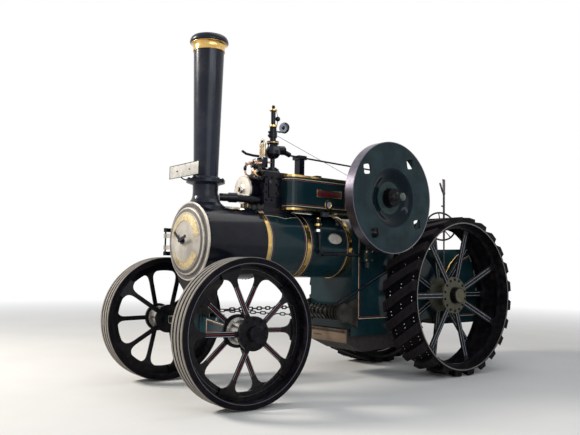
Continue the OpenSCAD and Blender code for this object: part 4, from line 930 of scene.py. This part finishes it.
bm = bmesh.new()
under, over = 0.0005, 0.0035
rings = [oval(bm, 0.092 * share, 0.054 * share, out) for share, out in (
    (0.05, under), (0.5, under), (1.0, under), (1.0, over), (0.7, over), (0.4, over), (0.05, over))]
for first, second in zip(rings, rings[1:]):
    bmesh.ops.bridge_loops(bm, edges=first + second)
for ring in (rings[0], rings[-1]):
    bmesh.ops.contextual_create(bm, geom=ring)
as_piece("oval_plate", bm, "plate_white")
bm = bmesh.new()
rings = [oval(bm, wide, wide - 0.038, out) for wide, out in ((0.090, 0.003), (0.093, 0.0065), (0.099, 0.0065),
                                                             (0.101, 0.0005))]
for first, second in zip(rings, rings[1:] + rings[:1]):
    bmesh.ops.bridge_loops(bm, edges=first + second)
as_piece("oval_plate_rim", bm, "copper")

# %% [markdown]
# The clack valve lets the feed water into the boiler. Its black body has a brass ring and stands on a bright
# nut, and a small pale box for the oil feed sits over it, just under the tray.

# %% Clack valve and oil box
clack = at(1.850, 0.345, 0)
bm = bmesh.new()
turned(bm, clack + UP * 1.690, UP, [(0.030, -0.0125), (0.0395, -0.011), (0.0405, 0.0), (0.0395, 0.011),
                                    (0.030, 0.0125)], 28, True)
turned(bm, clack + UP * 1.757, UP, [(0, 0.012), (0.014, 0.011), (0.018, 0.004), (0.0265, 0.0035),
                                    (0.0275, -0.004), (0.020, -0.006), (0, -0.006)], 28)
as_piece("clack_ring", bm, "polished_brass")
bm = bmesh.new()
nut(bm, clack + UP * 1.616, UP, 0.060, 0.026)
as_piece("clack_nut", bm, "bright_steel")
bm = bmesh.new()
plate(bm, at(1.760, 0.352, 1.800), (0.085, 0.050, 0.040), 0.004)
plate(bm, at(1.760, 0.352, 1.8235), (0.092, 0.056, 0.007), 0.002)
as_piece("oil_box", bm, "gauge_metal")

# %% [markdown]
# Four nuts hold the pump to the hornplate, and a turned gland sits on top of it.

# %% Feed pump fittings
pump_low, pump_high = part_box("feed_pump")
bm = bmesh.new()
for ahead in (0.022, 0.118):
    for up in (0.085, 0.180):
        nut(bm, Vector((pump_low.x + ahead, pump_high.y, pump_low.z + up)), LEFT, 0.022, 0.012)
turned(bm, at(1.150, 0.392, 1.560), UP, [(0, 0.020), (0.014, 0.020), (0.022, 0.014), (0.034, 0.010),
                                         (0.034, -0.010), (0, -0.010)], 24)
as_piece("pump_nuts", bm, "polished_brass")

# %% [markdown]
# The hornplates are riveted in rows that follow their edges and the firebox's. There are none where a shaft's
# bearing sits.

# %% Rivets in the hornplates
hornplate_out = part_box("hornplate_left")[1].y
edge_path = [(1.372, 1.872), (1.372, 2.020), (1.318, 2.078), (1.062, 2.078), (0.915, 1.965), (0.715, 1.862),
             (0.270, 1.500), (-0.035, 1.222), (-0.160, 1.110), (-0.170, 0.780)]
firebox_rows = [(1.315, 0.510), (1.315, 1.760)], [(0.360, 0.510), (0.360, 1.480)]
bearings = ((0.8394, 1.858, 0.008), (1.185, 2.001, 0.0075))


def along_path(path, spacing):
    """Places along a path of (ahead, height), a spacing apart as nearly as the path allows."""
    spots = []
    for (x0, z0), (x1, z1) in zip(path, path[1:]):
        count = max(1, round(sqrt((x1 - x0) ** 2 + (z1 - z0) ** 2) / spacing))
        spots += [(x0 + (x1 - x0) * i / count, z0 + (z1 - z0) * i / count) for i in range(count)]
    return spots + [path[-1]]


bm = bmesh.new()
for side in (1, -1):
    for x, z in [spot for path in (edge_path, *firebox_rows) for spot in along_path(path, 0.062)]:
        if all((x - there) ** 2 + (z - up) ** 2 >= square for there, up, square in bearings):
            rivet(bm, at(x, side * hornplate_out, z), LEFT * side, 0.008, 0.005)
as_piece("hornplate_rivets", bm, "green_enamel")

# %% [markdown]
# Coach lining on the hornplates, the tender and the axle beam: a cream line a little inside the panel's edge,
# with a red line inside it. Each panel's lines are narrow raised bands of paint.

# %% Panel lining
def panel_line(bm, corners, normal, width, thick=0.0007):
    """A closed line round a flat panel, made of straight bars whose ends meet."""
    for first, second in zip(corners, corners[1:] + corners[:1]):
        along = (second - first).normalized()
        turn = Matrix((along, normal.cross(along), normal)).transposed().to_4x4()
        plate(bm, (first + second) / 2 + normal * thick / 2, ((second - first).length + width, width, thick),
              turn=turn)


def tank_panel(inset, face):
    """The corners of the lining on a side of the tender: straight behind and below, and curved in front."""
    back, low, top = tender_low.x + inset, 0.60 + inset, tender_high.z - inset - 0.015
    curve = ((-0.210, low), (-0.210, 1.050 - inset * 0.3), (-0.255, 1.170 - inset * 0.5),
             (-0.345, 1.290 - inset * 0.7), (-0.475, 1.385 - inset * 0.8), (-0.700, top))
    front = [at(x - inset, face, z) for x, z in curve]
    return [Vector((back, face, low))] + front + [Vector((back, face, top))]


def horn_panel(inset, face):
    """The corners of the lining on a hornplate."""
    low, top, front, back = 0.62 + inset, 1.700 - inset, 1.290 - inset, 0.400 + inset
    corners = ((front, low), (front, top), (0.760, top), (back, 1.420 - inset), (back, low))
    return [at(x, face, z) for x, z in corners]


def back_panel(inset):
    """The corners of the lining on the tender's back."""
    half, low, high = tender_high.y - inset, 0.77 + inset, tender_high.z - 0.015 - inset
    return [Vector((tender_low.x, y, z)) for y, z in ((half, low), (half, high), (-half, high), (-half, low))]


tender_low, tender_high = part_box("tender")
for name, finish, inset, width in (("panel_cream_lines", "cream_line", 0.050, 0.007),
                                   ("panel_red_lines", "red_line", 0.068, 0.004)):
    bm = bmesh.new()
    for side in (1, -1):
        panel_line(bm, tank_panel(inset, tender_high.y * side), LEFT * side, width)
        panel_line(bm, horn_panel(inset, hornplate_out * side), LEFT * side, width)
    panel_line(bm, back_panel(inset), -FORWARD, width)
    as_piece(name, bm, finish)

# %% [markdown]
# A half-round brass beading finishes the top edge of the tender. Rivets run along the foot of the tank, and
# along the line where the bunker's floor meets the plates.

# %% Tender beading and rivets
top = tender_high.z + 0.002
beading_left = tender_high.y - 0.004
top_edge = [at(x, beading_left, top - down) for x, down in ((-0.700, 0.0), (-0.460, 0.100), (-0.330, 0.200),
                                                            (-0.240, 0.320), (-0.212, 0.430))]
top_edge.insert(0, Vector((tender_low.x - 0.001, beading_left, top)))
bm = bmesh.new()
for side in (1, -1):
    tube(bm, [Vector((p.x, p.y * side, p.z)) for p in top_edge], 0.009)
tube(bm, [Vector((tender_low.x + 0.004, y, top)) for y in (-beading_left, 0, beading_left)], 0.009)
as_piece("tender_beading", bm, "polished_brass")
bm = bmesh.new()
for side in (1, -1):
    for path in ([(-1.310, 0.585), (-0.235, 0.585)], [(-1.310, 1.050), (-0.720, 1.050)]):
        for x, z in along_path(path, 0.060):
            rivet(bm, at(x, side * tender_high.y, z), LEFT * side, 0.008, 0.005)
for y in range(-36, 37, 6):
    rivet(bm, Vector((tender_low.x, y / 100, 1.050)), -FORWARD, 0.008, 0.005)
as_piece("tender_rivets", bm, "green_enamel")

# %% [markdown]
# Coal lies in the bunker, heaped a little toward the back, and is kept clear of the tank's filler lid. The
# heap is one lumpy sheet: a grid whose points are lifted by a sum of waves, and whose edges come down to the
# tank's top, along the bunker's walls and round the lid.

# %% Coal in the bunker
lid_low, lid_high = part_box("tank_lid")
lid_room, lump_slope = 0.035, 7
bunker_length, bunker_width, bunker_floor = 0.606, 0.776, 1.0515
swept_by_lid = []
bm = bmesh.new()
bmesh.ops.create_grid(bm, x_segments=48, y_segments=60, size=0.5)
for vert in bm.verts:
    u, v = vert.co.x + 0.5, vert.co.y + 0.5
    spot = at(-1.318 + u * bunker_length, (v - 0.5) * bunker_width, bunker_floor)
    from_lid = max(lid_low.x - lid_room - spot.x, spot.x - lid_high.x - lid_room,
                   abs(spot.y) - lid_high.y - lid_room)
    if from_lid < 0:
        swept_by_lid.append(vert)
    edge = max(0.0, min(u, 1 - u, v, 1 - v, from_lid - 0.012))
    large_lumps = sin(u * 61 + v * 23) * cos(v * 71 - u * 17) * 0.016
    small_lumps = sin(u * 131 + 2) * sin(v * 117 + u * 40) * 0.011
    heap = 0.11 * sin(pi * v) * (1.15 - 0.5 * u)
    height = (0.03 + heap + large_lumps + small_lumps) * min(1, edge * lump_slope)
    vert.co = spot + UP * max(0.0, height)
bmesh.ops.delete(bm, geom=swept_by_lid, context="VERTS")
bmesh.ops.solidify(bm, geom=bm.faces[:], thickness=0.001)
as_piece("coal", bm, "coal_black", crease=20)

# %% [markdown]
# The backhead, where the driver looks, carries a gauge glass between two brass cocks and two smaller cocks
# beside it. Stay bolts stand in rows above and below the firing hole.

# %% Backhead fittings and stay bolts
backhead_x, glass_left, glass_gap = 0.330, 0.13, 0.045
bm = bmesh.new()
cock = [(0, 0.062), (0.013, 0.060), (0.016, 0.045), (0.012, 0.030), (0.022, 0.006), (0.024, 0.0), (0, 0.0)]
for z in (1.40, 1.66):
    turned(bm, at(backhead_x, glass_left, z), -FORWARD, cock, 20)
    tube(bm, [at(backhead_x - glass_gap, glass_left, z), at(backhead_x - glass_gap, 0.175, z)], 0.006, 8)
for y in (-0.02, -0.10):
    turned(bm, at(backhead_x, y, 1.50), -FORWARD, [(0, 0.070), (0.010, 0.068), (0.012, 0.030), (0.020, 0.006),
                                                   (0.022, 0.0), (0, 0.0)], 20)
as_piece("backhead_cocks", bm, "polished_brass")
bm = bmesh.new()
tube(bm, [at(backhead_x - glass_gap, glass_left, z) for z in (1.405, 1.655)], 0.008, 12)
as_piece("gauge_glass", bm, "pale_blue_line")
stay_radius, shell_z, foot_top = 0.29, 1.473, 0.9
bm = bmesh.new()
for z in (0.66, 0.76, 0.86, 1.42, 1.52, 1.62):
    for y in (-0.24, -0.16, 0.20, 0.27):
        if z < foot_top or (z - shell_z) ** 2 + y ** 2 < stay_radius ** 2:
            rivet(bm, at(backhead_x, y, z), -FORWARD, 0.010, 0.007)
as_piece("stay_bolts", bm, "green_enamel")

# %% [markdown]
# What belongs to a wheel is made in the wheel's own frame, round the origin and with its outer side toward
# the left, and is then carried to the wheel's place.

# %% Putting pieces on wheels
def wheel_place(wheel, side):
    """From a wheel's own frame to its place on the engine."""
    centre, turn = (front_centre[side], front_axle_turn) if wheel == "front_wheel" else (hind_centre[side], 0)
    mirror = Matrix.Diagonal((1, 1 if side == "left" else -1, 1, 1))
    return Matrix.Translation(centre) @ Matrix.Rotation(turn, 4, "Z") @ mirror


def on_wheel(name, bm, finish, wheel, side):
    bmesh.ops.transform(bm, verts=bm.verts, matrix=wheel_place(wheel, side))
    return as_piece(name + "_" + side, bm, finish, wheel + "_" + side)


print("wheels stand at", *(tuple(round(c, 3) for c in centre) for centre in front_centre.values()))

# %% [markdown]
# A front tyre is a hoop of rubber with four broad ribs. It has the same outline as the plain hoop in the
# frame, which it stands in for, with three grooves turned into it.

# %% Front tyres
tyre_inner, half_width, chamfer = 0.6103, 0.1135, 0.010
tread = front_radius - 0.0001
groove_depth, groove_mouth, groove_floor = 0.016, 0.0135, 0.0105
profile = [(tyre_inner, -half_width), (tread - chamfer, -half_width), (tread, -half_width + chamfer)]
for groove in (-0.062, 0.0, 0.062):
    profile += [(tread, groove - groove_mouth), (tread - groove_depth, groove - groove_floor),
                (tread - groove_depth, groove + groove_floor), (tread, groove + groove_mouth)]
profile += [(tread, half_width - chamfer), (tread - chamfer, half_width), (tyre_inner, half_width)]
for side in SIDES:
    bm = bmesh.new()
    turned(bm, ORIGIN, LEFT, profile, 88, True)
    tyre = on_wheel("front_ribbed_tyre", bm, "front_rubber_" + side, "front_wheel", side)
    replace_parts(tyre, "front_tyre_" + side)

# %% [markdown]
# Spokes are lined on their outward side: two pale lines near the edges, and on the front wheels a red line
# between them. A spoke is a flat bar that slants from the hub to the rim, so its lines are laid in its own
# frame and then turned into place.

# %% Lining of the spokes
def spoke_frame(i, count, hub_r, hub_y, rim_r, rim_y):
    """From a spoke's own frame, which runs along the bar from the hub, to its wheel's."""
    slope = atan2(rim_y - hub_y, rim_r - hub_r)
    spin = Matrix.Rotation(-i * tau / count, 4, "Y")
    return spin @ Matrix.Translation((hub_r, hub_y, 0)) @ Matrix.Rotation(slope, 4, "Z")


def spoke_bars(bm, which, count, ends, offsets, width, start, end, thickness=0.016):
    """Lines along every second spoke, at some offsets from its middle, from start to end along the bar."""
    hub_r, hub_y, rim_r, rim_y = ends
    length = sqrt((rim_r - hub_r) ** 2 + (rim_y - hub_y) ** 2)
    for i in range(which, count, 2):
        for offset in offsets:
            middle = Matrix.Translation(((start + length - end) / 2, thickness / 2 + 0.0003, offset))
            bmesh.ops.create_cube(bm, size=1, matrix=spoke_frame(i, count, *ends) @ middle @ Matrix.Diagonal(
                (length - start - end, 0.0007, width, 1)))


front_count, hind_count = 10, 14
front_spokes = (0.090, 0.128, 0.596, 0.014), (0.090, -0.128, 0.596, -0.014)
hind_spokes = (0.120, 0.058, 0.847, 0.105), (0.120, -0.147, 0.847, -0.105)
for side in SIDES:
    for name, finish, offsets, width in (("front_spoke_pale", "pale_blue_line", (-0.0185, 0.0185), 0.0035),
                                         ("front_spoke_red", "red_line", (0.0,), 0.003)):
        bm = bmesh.new()
        for which, ends in enumerate(front_spokes):
            spoke_bars(bm, which, front_count, ends, offsets, width, 0.085, 0.150)
        on_wheel(name, bm, finish, "front_wheel", side)
    bm = bmesh.new()
    for which, ends in enumerate(hind_spokes):
        spoke_bars(bm, which, hind_count, ends, (-0.019, 0.019), 0.0042, 0.105, 0.110)
    on_wheel("hind_spoke_lines", bm, "pale_blue_line", "hind_wheel", side)

# %% [markdown]
# A front rim is a deep tee in section, and each spoke ends in a wide foot that is riveted to its web. The
# frame's wheel has the tee and plain feet; here the web is brought in to its full depth, and each foot gets
# the hollow flanks of the real forging, which leave rounded windows between the spokes.

# %% Webs and feet of the front wheels
web_inner, web_outer, web_half, foot_thick = 0.514, 0.5938, 0.0075, 0.0176
flank = [(0.335, 0.0232), (0.368, 0.0262), (0.392, 0.0335), (0.409, 0.0450), (0.421, 0.0610), (0.428, 0.0800),
         (0.431, 0.0990), (0.500, 0.0990)]
for side in SIDES:
    bm = bmesh.new()
    square_ring(bm, ORIGIN, LEFT, web_inner, web_outer, -web_half, web_half, 80)
    for i in range(front_count):
        foot = flank + [(along, -over) for along, over in reversed(flank)]
        verts = [bm.verts.new((along, -foot_thick / 2, over)) for along, over in foot]
        grown = bmesh.ops.extrude_face_region(bm, geom=[bm.faces.new(verts)])["geom"]
        lifted = only(bmesh.types.BMVert, grown)
        bmesh.ops.translate(bm, verts=lifted, vec=(0, foot_thick, 0))
        place = spoke_frame(i, front_count, *front_spokes[i % 2])
        bmesh.ops.transform(bm, verts=verts + lifted, matrix=place)
    on_wheel("front_web", bm, "wheel_enamel", "front_wheel", side)

# %% [markdown]
# The axle beam tapers from the middle to the hubs, and its green faces are lined like the panels.

# %% Lining of the front axle
axle_face, beam_middle, beam_end = 0.0452, 0.215, 0.640
steered = Matrix.Rotation(front_axle_turn, 4, "Z")
axle_place = Matrix.Translation(at(3.073, 0, front_centre["left"].z)) @ steered
for name, finish, inset, width in (("axle_cream_lines", "cream_line", 0.014, 0.006),
                                   ("axle_red_lines", "red_line", 0.026, 0.0035)):
    corners = [(beam_end - inset, -0.047 + inset), (beam_end - inset, 0.047 - inset * 0.9),
               (beam_middle + inset, 0.082 - inset), (beam_middle + inset, -0.073 + inset)]
    bm = bmesh.new()
    for side in (1, -1):
        for face in (1, -1):
            spots = [axle_place @ Vector((axle_face * face, y * side, z)) for y, z in corners]
            panel_line(bm, spots, axle_place.to_3x3() @ (FORWARD * face), width)
    as_piece(name, bm, finish, "front_axle")

# %% [markdown]
# The rim's edges are lined too: a thin pale line on a front rim, where steel meets rubber, one on the rib
# inside it, and a broad grey-beige one on a hind rim.

# %% Rim lines
for side in SIDES:
    for name, wheel, finish, inner, outer, out in (
            ("front_rim_line", "front_wheel", "dim_line", 0.6035, 0.6085, 0.1134),
            ("front_rib_line", "front_wheel", "dim_line", 0.5525, 0.5550, 0.0069),
            ("hind_rim_line", "hind_wheel", "grey_line", 0.8505, 0.8630, 0.2294)):
        bm = bmesh.new()
        square_ring(bm, ORIGIN, LEFT, inner, outer, out, out + 0.0008, 80)
        on_wheel(name, bm, finish, wheel, side)

# %% [markdown]
# Bolts and rivets of the wheels: the hub flanges are held by nuts, each spoke's foot by four rivets, and the
# rubber band of a hind wheel by bright bolt heads between its lugs.

# %% Wheel bolts and rivets
def hub_nuts(name, wheel, side, count, radius, y, across_flats, height):
    bm = bmesh.new()
    for i in range(count):
        angle = (i + 0.5) * tau / count
        nut(bm, (cos(angle) * radius, y, sin(angle) * radius), LEFT, across_flats, height)
    on_wheel(name, bm, "wheel_enamel", wheel, side)


band_radius, lug_count, lug_lean, lug_length = 0.8731, 24, radians(17), 0.453
for side in SIDES:
    hub_nuts("front_hub_nuts", "front_wheel", side, front_count, 0.127, 0.1520, 0.022, 0.010)
    bm = bmesh.new()
    for i in range(front_count):
        spin = Matrix.Rotation(-i * tau / front_count, 4, "Y")
        for along in (0.556, 0.582):
            for around in (-0.036, 0.036):
                rivet(bm, spin @ Vector((along, 0.0068 if i % 2 else 0.0222, around)), LEFT, 0.006, 0.004)
    on_wheel("front_foot_rivets", bm, "wheel_enamel", "front_wheel", side)
    hub_nuts("hind_hub_nuts", "hind_wheel", side, hind_count, 0.185, 0.0705, 0.026, 0.012)
    bm = bmesh.new()
    for i in range(lug_count):
        for y in (-0.16, 0.0, 0.16):
            # Half way between two lugs, which lean back across the wheel
            angle = -pi / 2 + (i + 0.5) * tau / lug_count + lug_lean * y / lug_length
            for step in (-0.025, 0.025):
                out = Vector((cos(angle + step), 0, sin(angle + step)))
                rivet(bm, out * band_radius + LEFT * y, out, 0.008, 0.005)
    on_wheel("hind_band_bolts", bm, "bright_steel", "hind_wheel", side)

# %% [markdown]
# The flywheel is a dished plate in a broad rim, with four lightening holes near its edge. The holes are
# larger and rounder here than in the frame's wheel, which this one stands in for: flat faces are filled
# round the holes, and the rest is turned.

# %% Flywheel
flywheel_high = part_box("flywheel")[1]
rim_radius = flywheel_high.z - crank_centre.z
rim_width, web_thick, web_face, bore, boss_out = 0.118, 0.022, 0.114, 0.0425, 0.020
web_back = web_face - web_thick
flywheel_back = Vector((crank_centre.x, flywheel_high.y - boss_out - rim_width, crank_centre.z))
dish = [(0.330, web_face), (0.318, 0.1125), (0.300, 0.108), (0.280, 0.100), (0.262, 0.090), (0.245, 0.079),
        (0.228, 0.069), (0.208, 0.061), (0.190, 0.0565), (0.175, 0.054)]
boss = [(0.110, 0.054), (0.104, 0.060), (0.098, rim_width + boss_out), (bore, rim_width + boss_out),
        (bore, -0.020), (0.095, -0.020), (0.100, 0.020)]
rim = [(rim_radius - 0.040, web_back), (rim_radius - 0.036, 0.0), (rim_radius, 0.0), (rim_radius, rim_width),
       (rim_radius - 0.007, rim_width), (rim_radius - 0.010, web_face)]
rim_steps, hole_at, hole_corner, first_hole = 96, 0.480, 0.068, 35
bm = bmesh.new()
turned(bm, flywheel_back, LEFT, dish + boss + [(r, y - web_thick) for r, y in reversed(dish)], rim_steps)
turned(bm, flywheel_back, LEFT, rim, rim_steps)
hole_loops = []
for height in (web_face, web_back):
    boundary = [e for e in bm.edges if len(e.link_faces) == 1
                and all(abs(v.co.y - flywheel_back.y - height) < 1e-4 for v in e.verts)]
    face_middle = flywheel_back + LEFT * height
    loops = []
    for turn in range(4):
        middle = on_circle(face_middle, FORWARD, UP, hole_at, first_hole + 90 * turn)
        way = (middle - face_middle).normalized()
        corners = []
        for quarter in range(4):
            tip = on_circle(middle, way, LEFT.cross(way), hole_corner * 0.66, 90 * quarter)
            corners += [on_circle(tip, way, LEFT.cross(way), hole_corner * 0.30, 90 * quarter + part)
                        for part in (-45, -15, 15, 45)]
        loops.append(outline(bm, corners, True)[1])
    bmesh.ops.triangle_fill(bm, edges=boundary + [e for loop in loops for e in loop], use_beauty=True)
    hole_loops.append(loops)
for front_loop, back_loop in zip(*hole_loops):
    bmesh.ops.bridge_loops(bm, edges=front_loop + back_loop)
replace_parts(as_piece("dished_flywheel", bm, "flywheel_paint", "crankshaft", crease=32), "flywheel")

# %% [markdown]
# The end of the crankshaft is keyed into the boss and capped with a painted disc.

# %% Crankshaft end
bm = bmesh.new()
plate(bm, flywheel_back + LEFT * (rim_width + 0.030) + UP * 0.045, (0.022, 0.060, 0.016), 0.002)
as_piece("flywheel_key", bm, "lever_steel", "crankshaft")
bm = bmesh.new()
turned(bm, Vector((crank_centre.x, 0.956, crank_centre.z)), LEFT, [
    (0, 0.004), (0.037, 0.004), (0.043, 0.0), (0.043, -0.070), (0.0415, -0.074), (0, -0.074)], 40)
as_piece("shaft_cap", bm, "shaft_green", "crankshaft")

# %% [markdown]
# The reversing lever ends in a stout grip, and beside it stands the latch that lifts its catch. Together
# they make the fork that rises behind the hind wheel.

# %% Grip and latch of the reversing lever
lever = at(-0.250, 0.360, 0)
bm = bmesh.new()
turned(bm, lever, UP, [(0, 2.380), (0.012, 2.378), (0.017, 2.366), (0.018, 2.300), (0.016, 2.215),
                       (0.019, 2.205), (0.019, 2.190), (0.0135, 2.180), (0.0135, 1.600), (0.0105, 1.590)], 16)
tube(bm, [lever + UP * up + FORWARD * ahead for up, ahead in ((2.195, 0), (2.225, 0.030), (2.325, 0.078))],
     0.012)
tube(bm, [lever + UP * 2.03 + FORWARD * 0.006, lever + UP * 2.035 + FORWARD * 0.045], 0.011)
as_piece("lever_grip", bm, "lever_steel")

# %% [markdown]
# A row of small air holes is drawn as dark discs near the right end of the ashpan's front: painted shade
# inside the holes. The damper's hinge rod runs along its top.

# %% Ashpan front
bm = bmesh.new()
# Dark discs of painted shade stand for the insides of the air holes.
for i in range(5):
    turned(bm, at(1.3715, -0.24 + i * 0.030, 0.465), FORWARD, [(0, 0.0062), (0.008, 0.0062), (0.008, -0.002),
                                                               (0, -0.002)], 14)
as_piece("ashpan_hole_shade_discs", bm, "coal_black")
bm = bmesh.new()
tube(bm, [at(1.392, -0.285, 0.528), at(1.392, 0.285, 0.528)], 0.007)
for y in (-0.26, 0.0, 0.26):
    plate(bm, at(1.388, y, 0.528), (0.016, 0.030, 0.022), 0.002)
as_piece("damper_hinge", bm, "under_black")

# %% [markdown]
# The camera stands where the photographer stood: low, to the left of the front wheels, looking back along
# the engine. Its place and its angles were worked out from points that are known on the engine.

# %% Camera
photo_width, focal_length = 580, 655.77
heading, pitch, lean = -2.24084518, 0.07285503, 0.01672901
look = Vector((cos(heading) * cos(pitch), sin(heading) * cos(pitch), sin(pitch)))
level_right = look.cross(UP).normalized()
level_up = level_right.cross(look)
camera_right = cos(lean) * level_right + sin(lean) * level_up
camera_up = cos(lean) * level_up - sin(lean) * level_right

camera_data = bpy.data.cameras.new("photo_camera")
camera_data.sensor_width = 36
camera_data.lens = focal_length * camera_data.sensor_width / photo_width
camera_data.clip_end = 500
camera = bpy.data.objects.new("photo_camera", camera_data)
camera.matrix_world = Matrix.Translation(at(6.44025, 5.65653, 1.25219)) @ Matrix(
    (camera_right, camera_up, -look)).transposed().to_4x4()
scene.collection.objects.link(camera)
scene.camera = camera
scene.view_settings.view_transform = "Standard"
print("lens", round(camera_data.lens, 1), "mm")

# %% [markdown]
# The stage: a wide pale floor that keeps the engine's shadow and fades into a white background. The key
# light stands high at the engine's front right, where the sun was, with a broad soft light on the camera's
# side. The white of the background is seen by the camera and in reflections only.

# %% Stage and light
def stage_light(name, place, size, power, colour=(1, 1, 1), length=0.0):
    """A soft disc of light, or a strip where a length is given, turned to the engine's middle."""
    data = bpy.data.lights.new(name, "AREA")
    data.shape = "RECTANGLE" if length else "DISK"
    data.size = length or size
    data.size_y = size
    data.energy = power
    data.color = colour
    lamp = bpy.data.objects.new(name, data)
    lamp.matrix_world = Matrix.Translation(place) @ facing(Vector(place) - Vector((0, 0, 1.3)))
    scene.collection.objects.link(lamp)


def mix_shaders(tree, share, first, second, output):
    mixed = tree.nodes.new("ShaderNodeMixShader")
    feed(tree, share, mixed.inputs[0])
    feed(tree, first.outputs[0], mixed.inputs[1])
    feed(tree, second.outputs[0], mixed.inputs[2])
    feed(tree, mixed.outputs[0], tree.nodes[output].inputs["Surface"])


def seen_by(tree, *rays):
    """1 for the kinds of rays that are named, and 0 for others."""
    path = tree.nodes.new("ShaderNodeLightPath")
    seen = path.outputs[rays[0]]
    for ray in rays[1:]:
        seen = calculate(tree, "MAXIMUM", seen, path.outputs[ray])
    return seen


stage_light("key_light", (7.5, -4.5, 6.5), 2.5, 900, (1.0, 0.95, 0.88))
stage_light("fill_light", (3.5, 8.5, 4.0), 6.0, 160, (0.90, 0.95, 1.0))
stage_light("top_light", (-1.0, 1.0, 9.0), 6.0, 160)
stage_light("strip_light", (1.5, 6.5, 5.0), 0.6, 90, (0.80, 0.90, 1.0), 6.0)

tree, shader = new_finish("stage_floor")
pale = blend(tree, patches(tree, 0.8, 0.3, 0.7), (0.74, 0.73, 0.71), (0.69, 0.68, 0.66))
feed(tree, pale, shader.inputs["Base Color"])
shader.inputs["Roughness"].default_value = 0.85
roughen(tree, shader, 40, 0.2, 0.002)
glow = add(tree, "ShaderNodeEmission", Color=(1.0, 1.0, 1.0), Strength=1.0)
far_away = ramp(tree, distance_from(tree, ORIGIN), 4.5, 16.0)
fade = times(tree, far_away, seen_by(tree, "Is Camera Ray", "Is Glossy Ray"))
mix_shaders(tree, fade, shader, glow, "Material Output")
bm = bmesh.new()
bmesh.ops.create_circle(bm, cap_ends=True, segments=64, radius=90, matrix=Matrix.Translation((0, 0, -0.002)))
mesh = bpy.data.meshes.new("stage_floor")
bm.to_mesh(mesh)
bm.free()
mesh.materials.append(finishes["stage_floor"])
floor = bpy.data.objects.new("stage_floor", mesh)
scene.collection.objects.link(floor)

world = bpy.data.worlds.new("studio")
world.use_nodes = True
scene.world = world
tree = world.node_tree
soft = tree.nodes["Background"]
feed(tree, (0.92, 0.95, 1.0), soft.inputs["Color"])
feed(tree, 0.30, soft.inputs["Strength"])
white = add(tree, "ShaderNodeBackground", Color=(1.0, 1.0, 1.0), Strength=1.0)
seen = seen_by(tree, "Is Camera Ray", "Is Glossy Ray", "Is Transmission Ray")
mix_shaders(tree, seen, soft, white, "World Output")
print("stage is set")
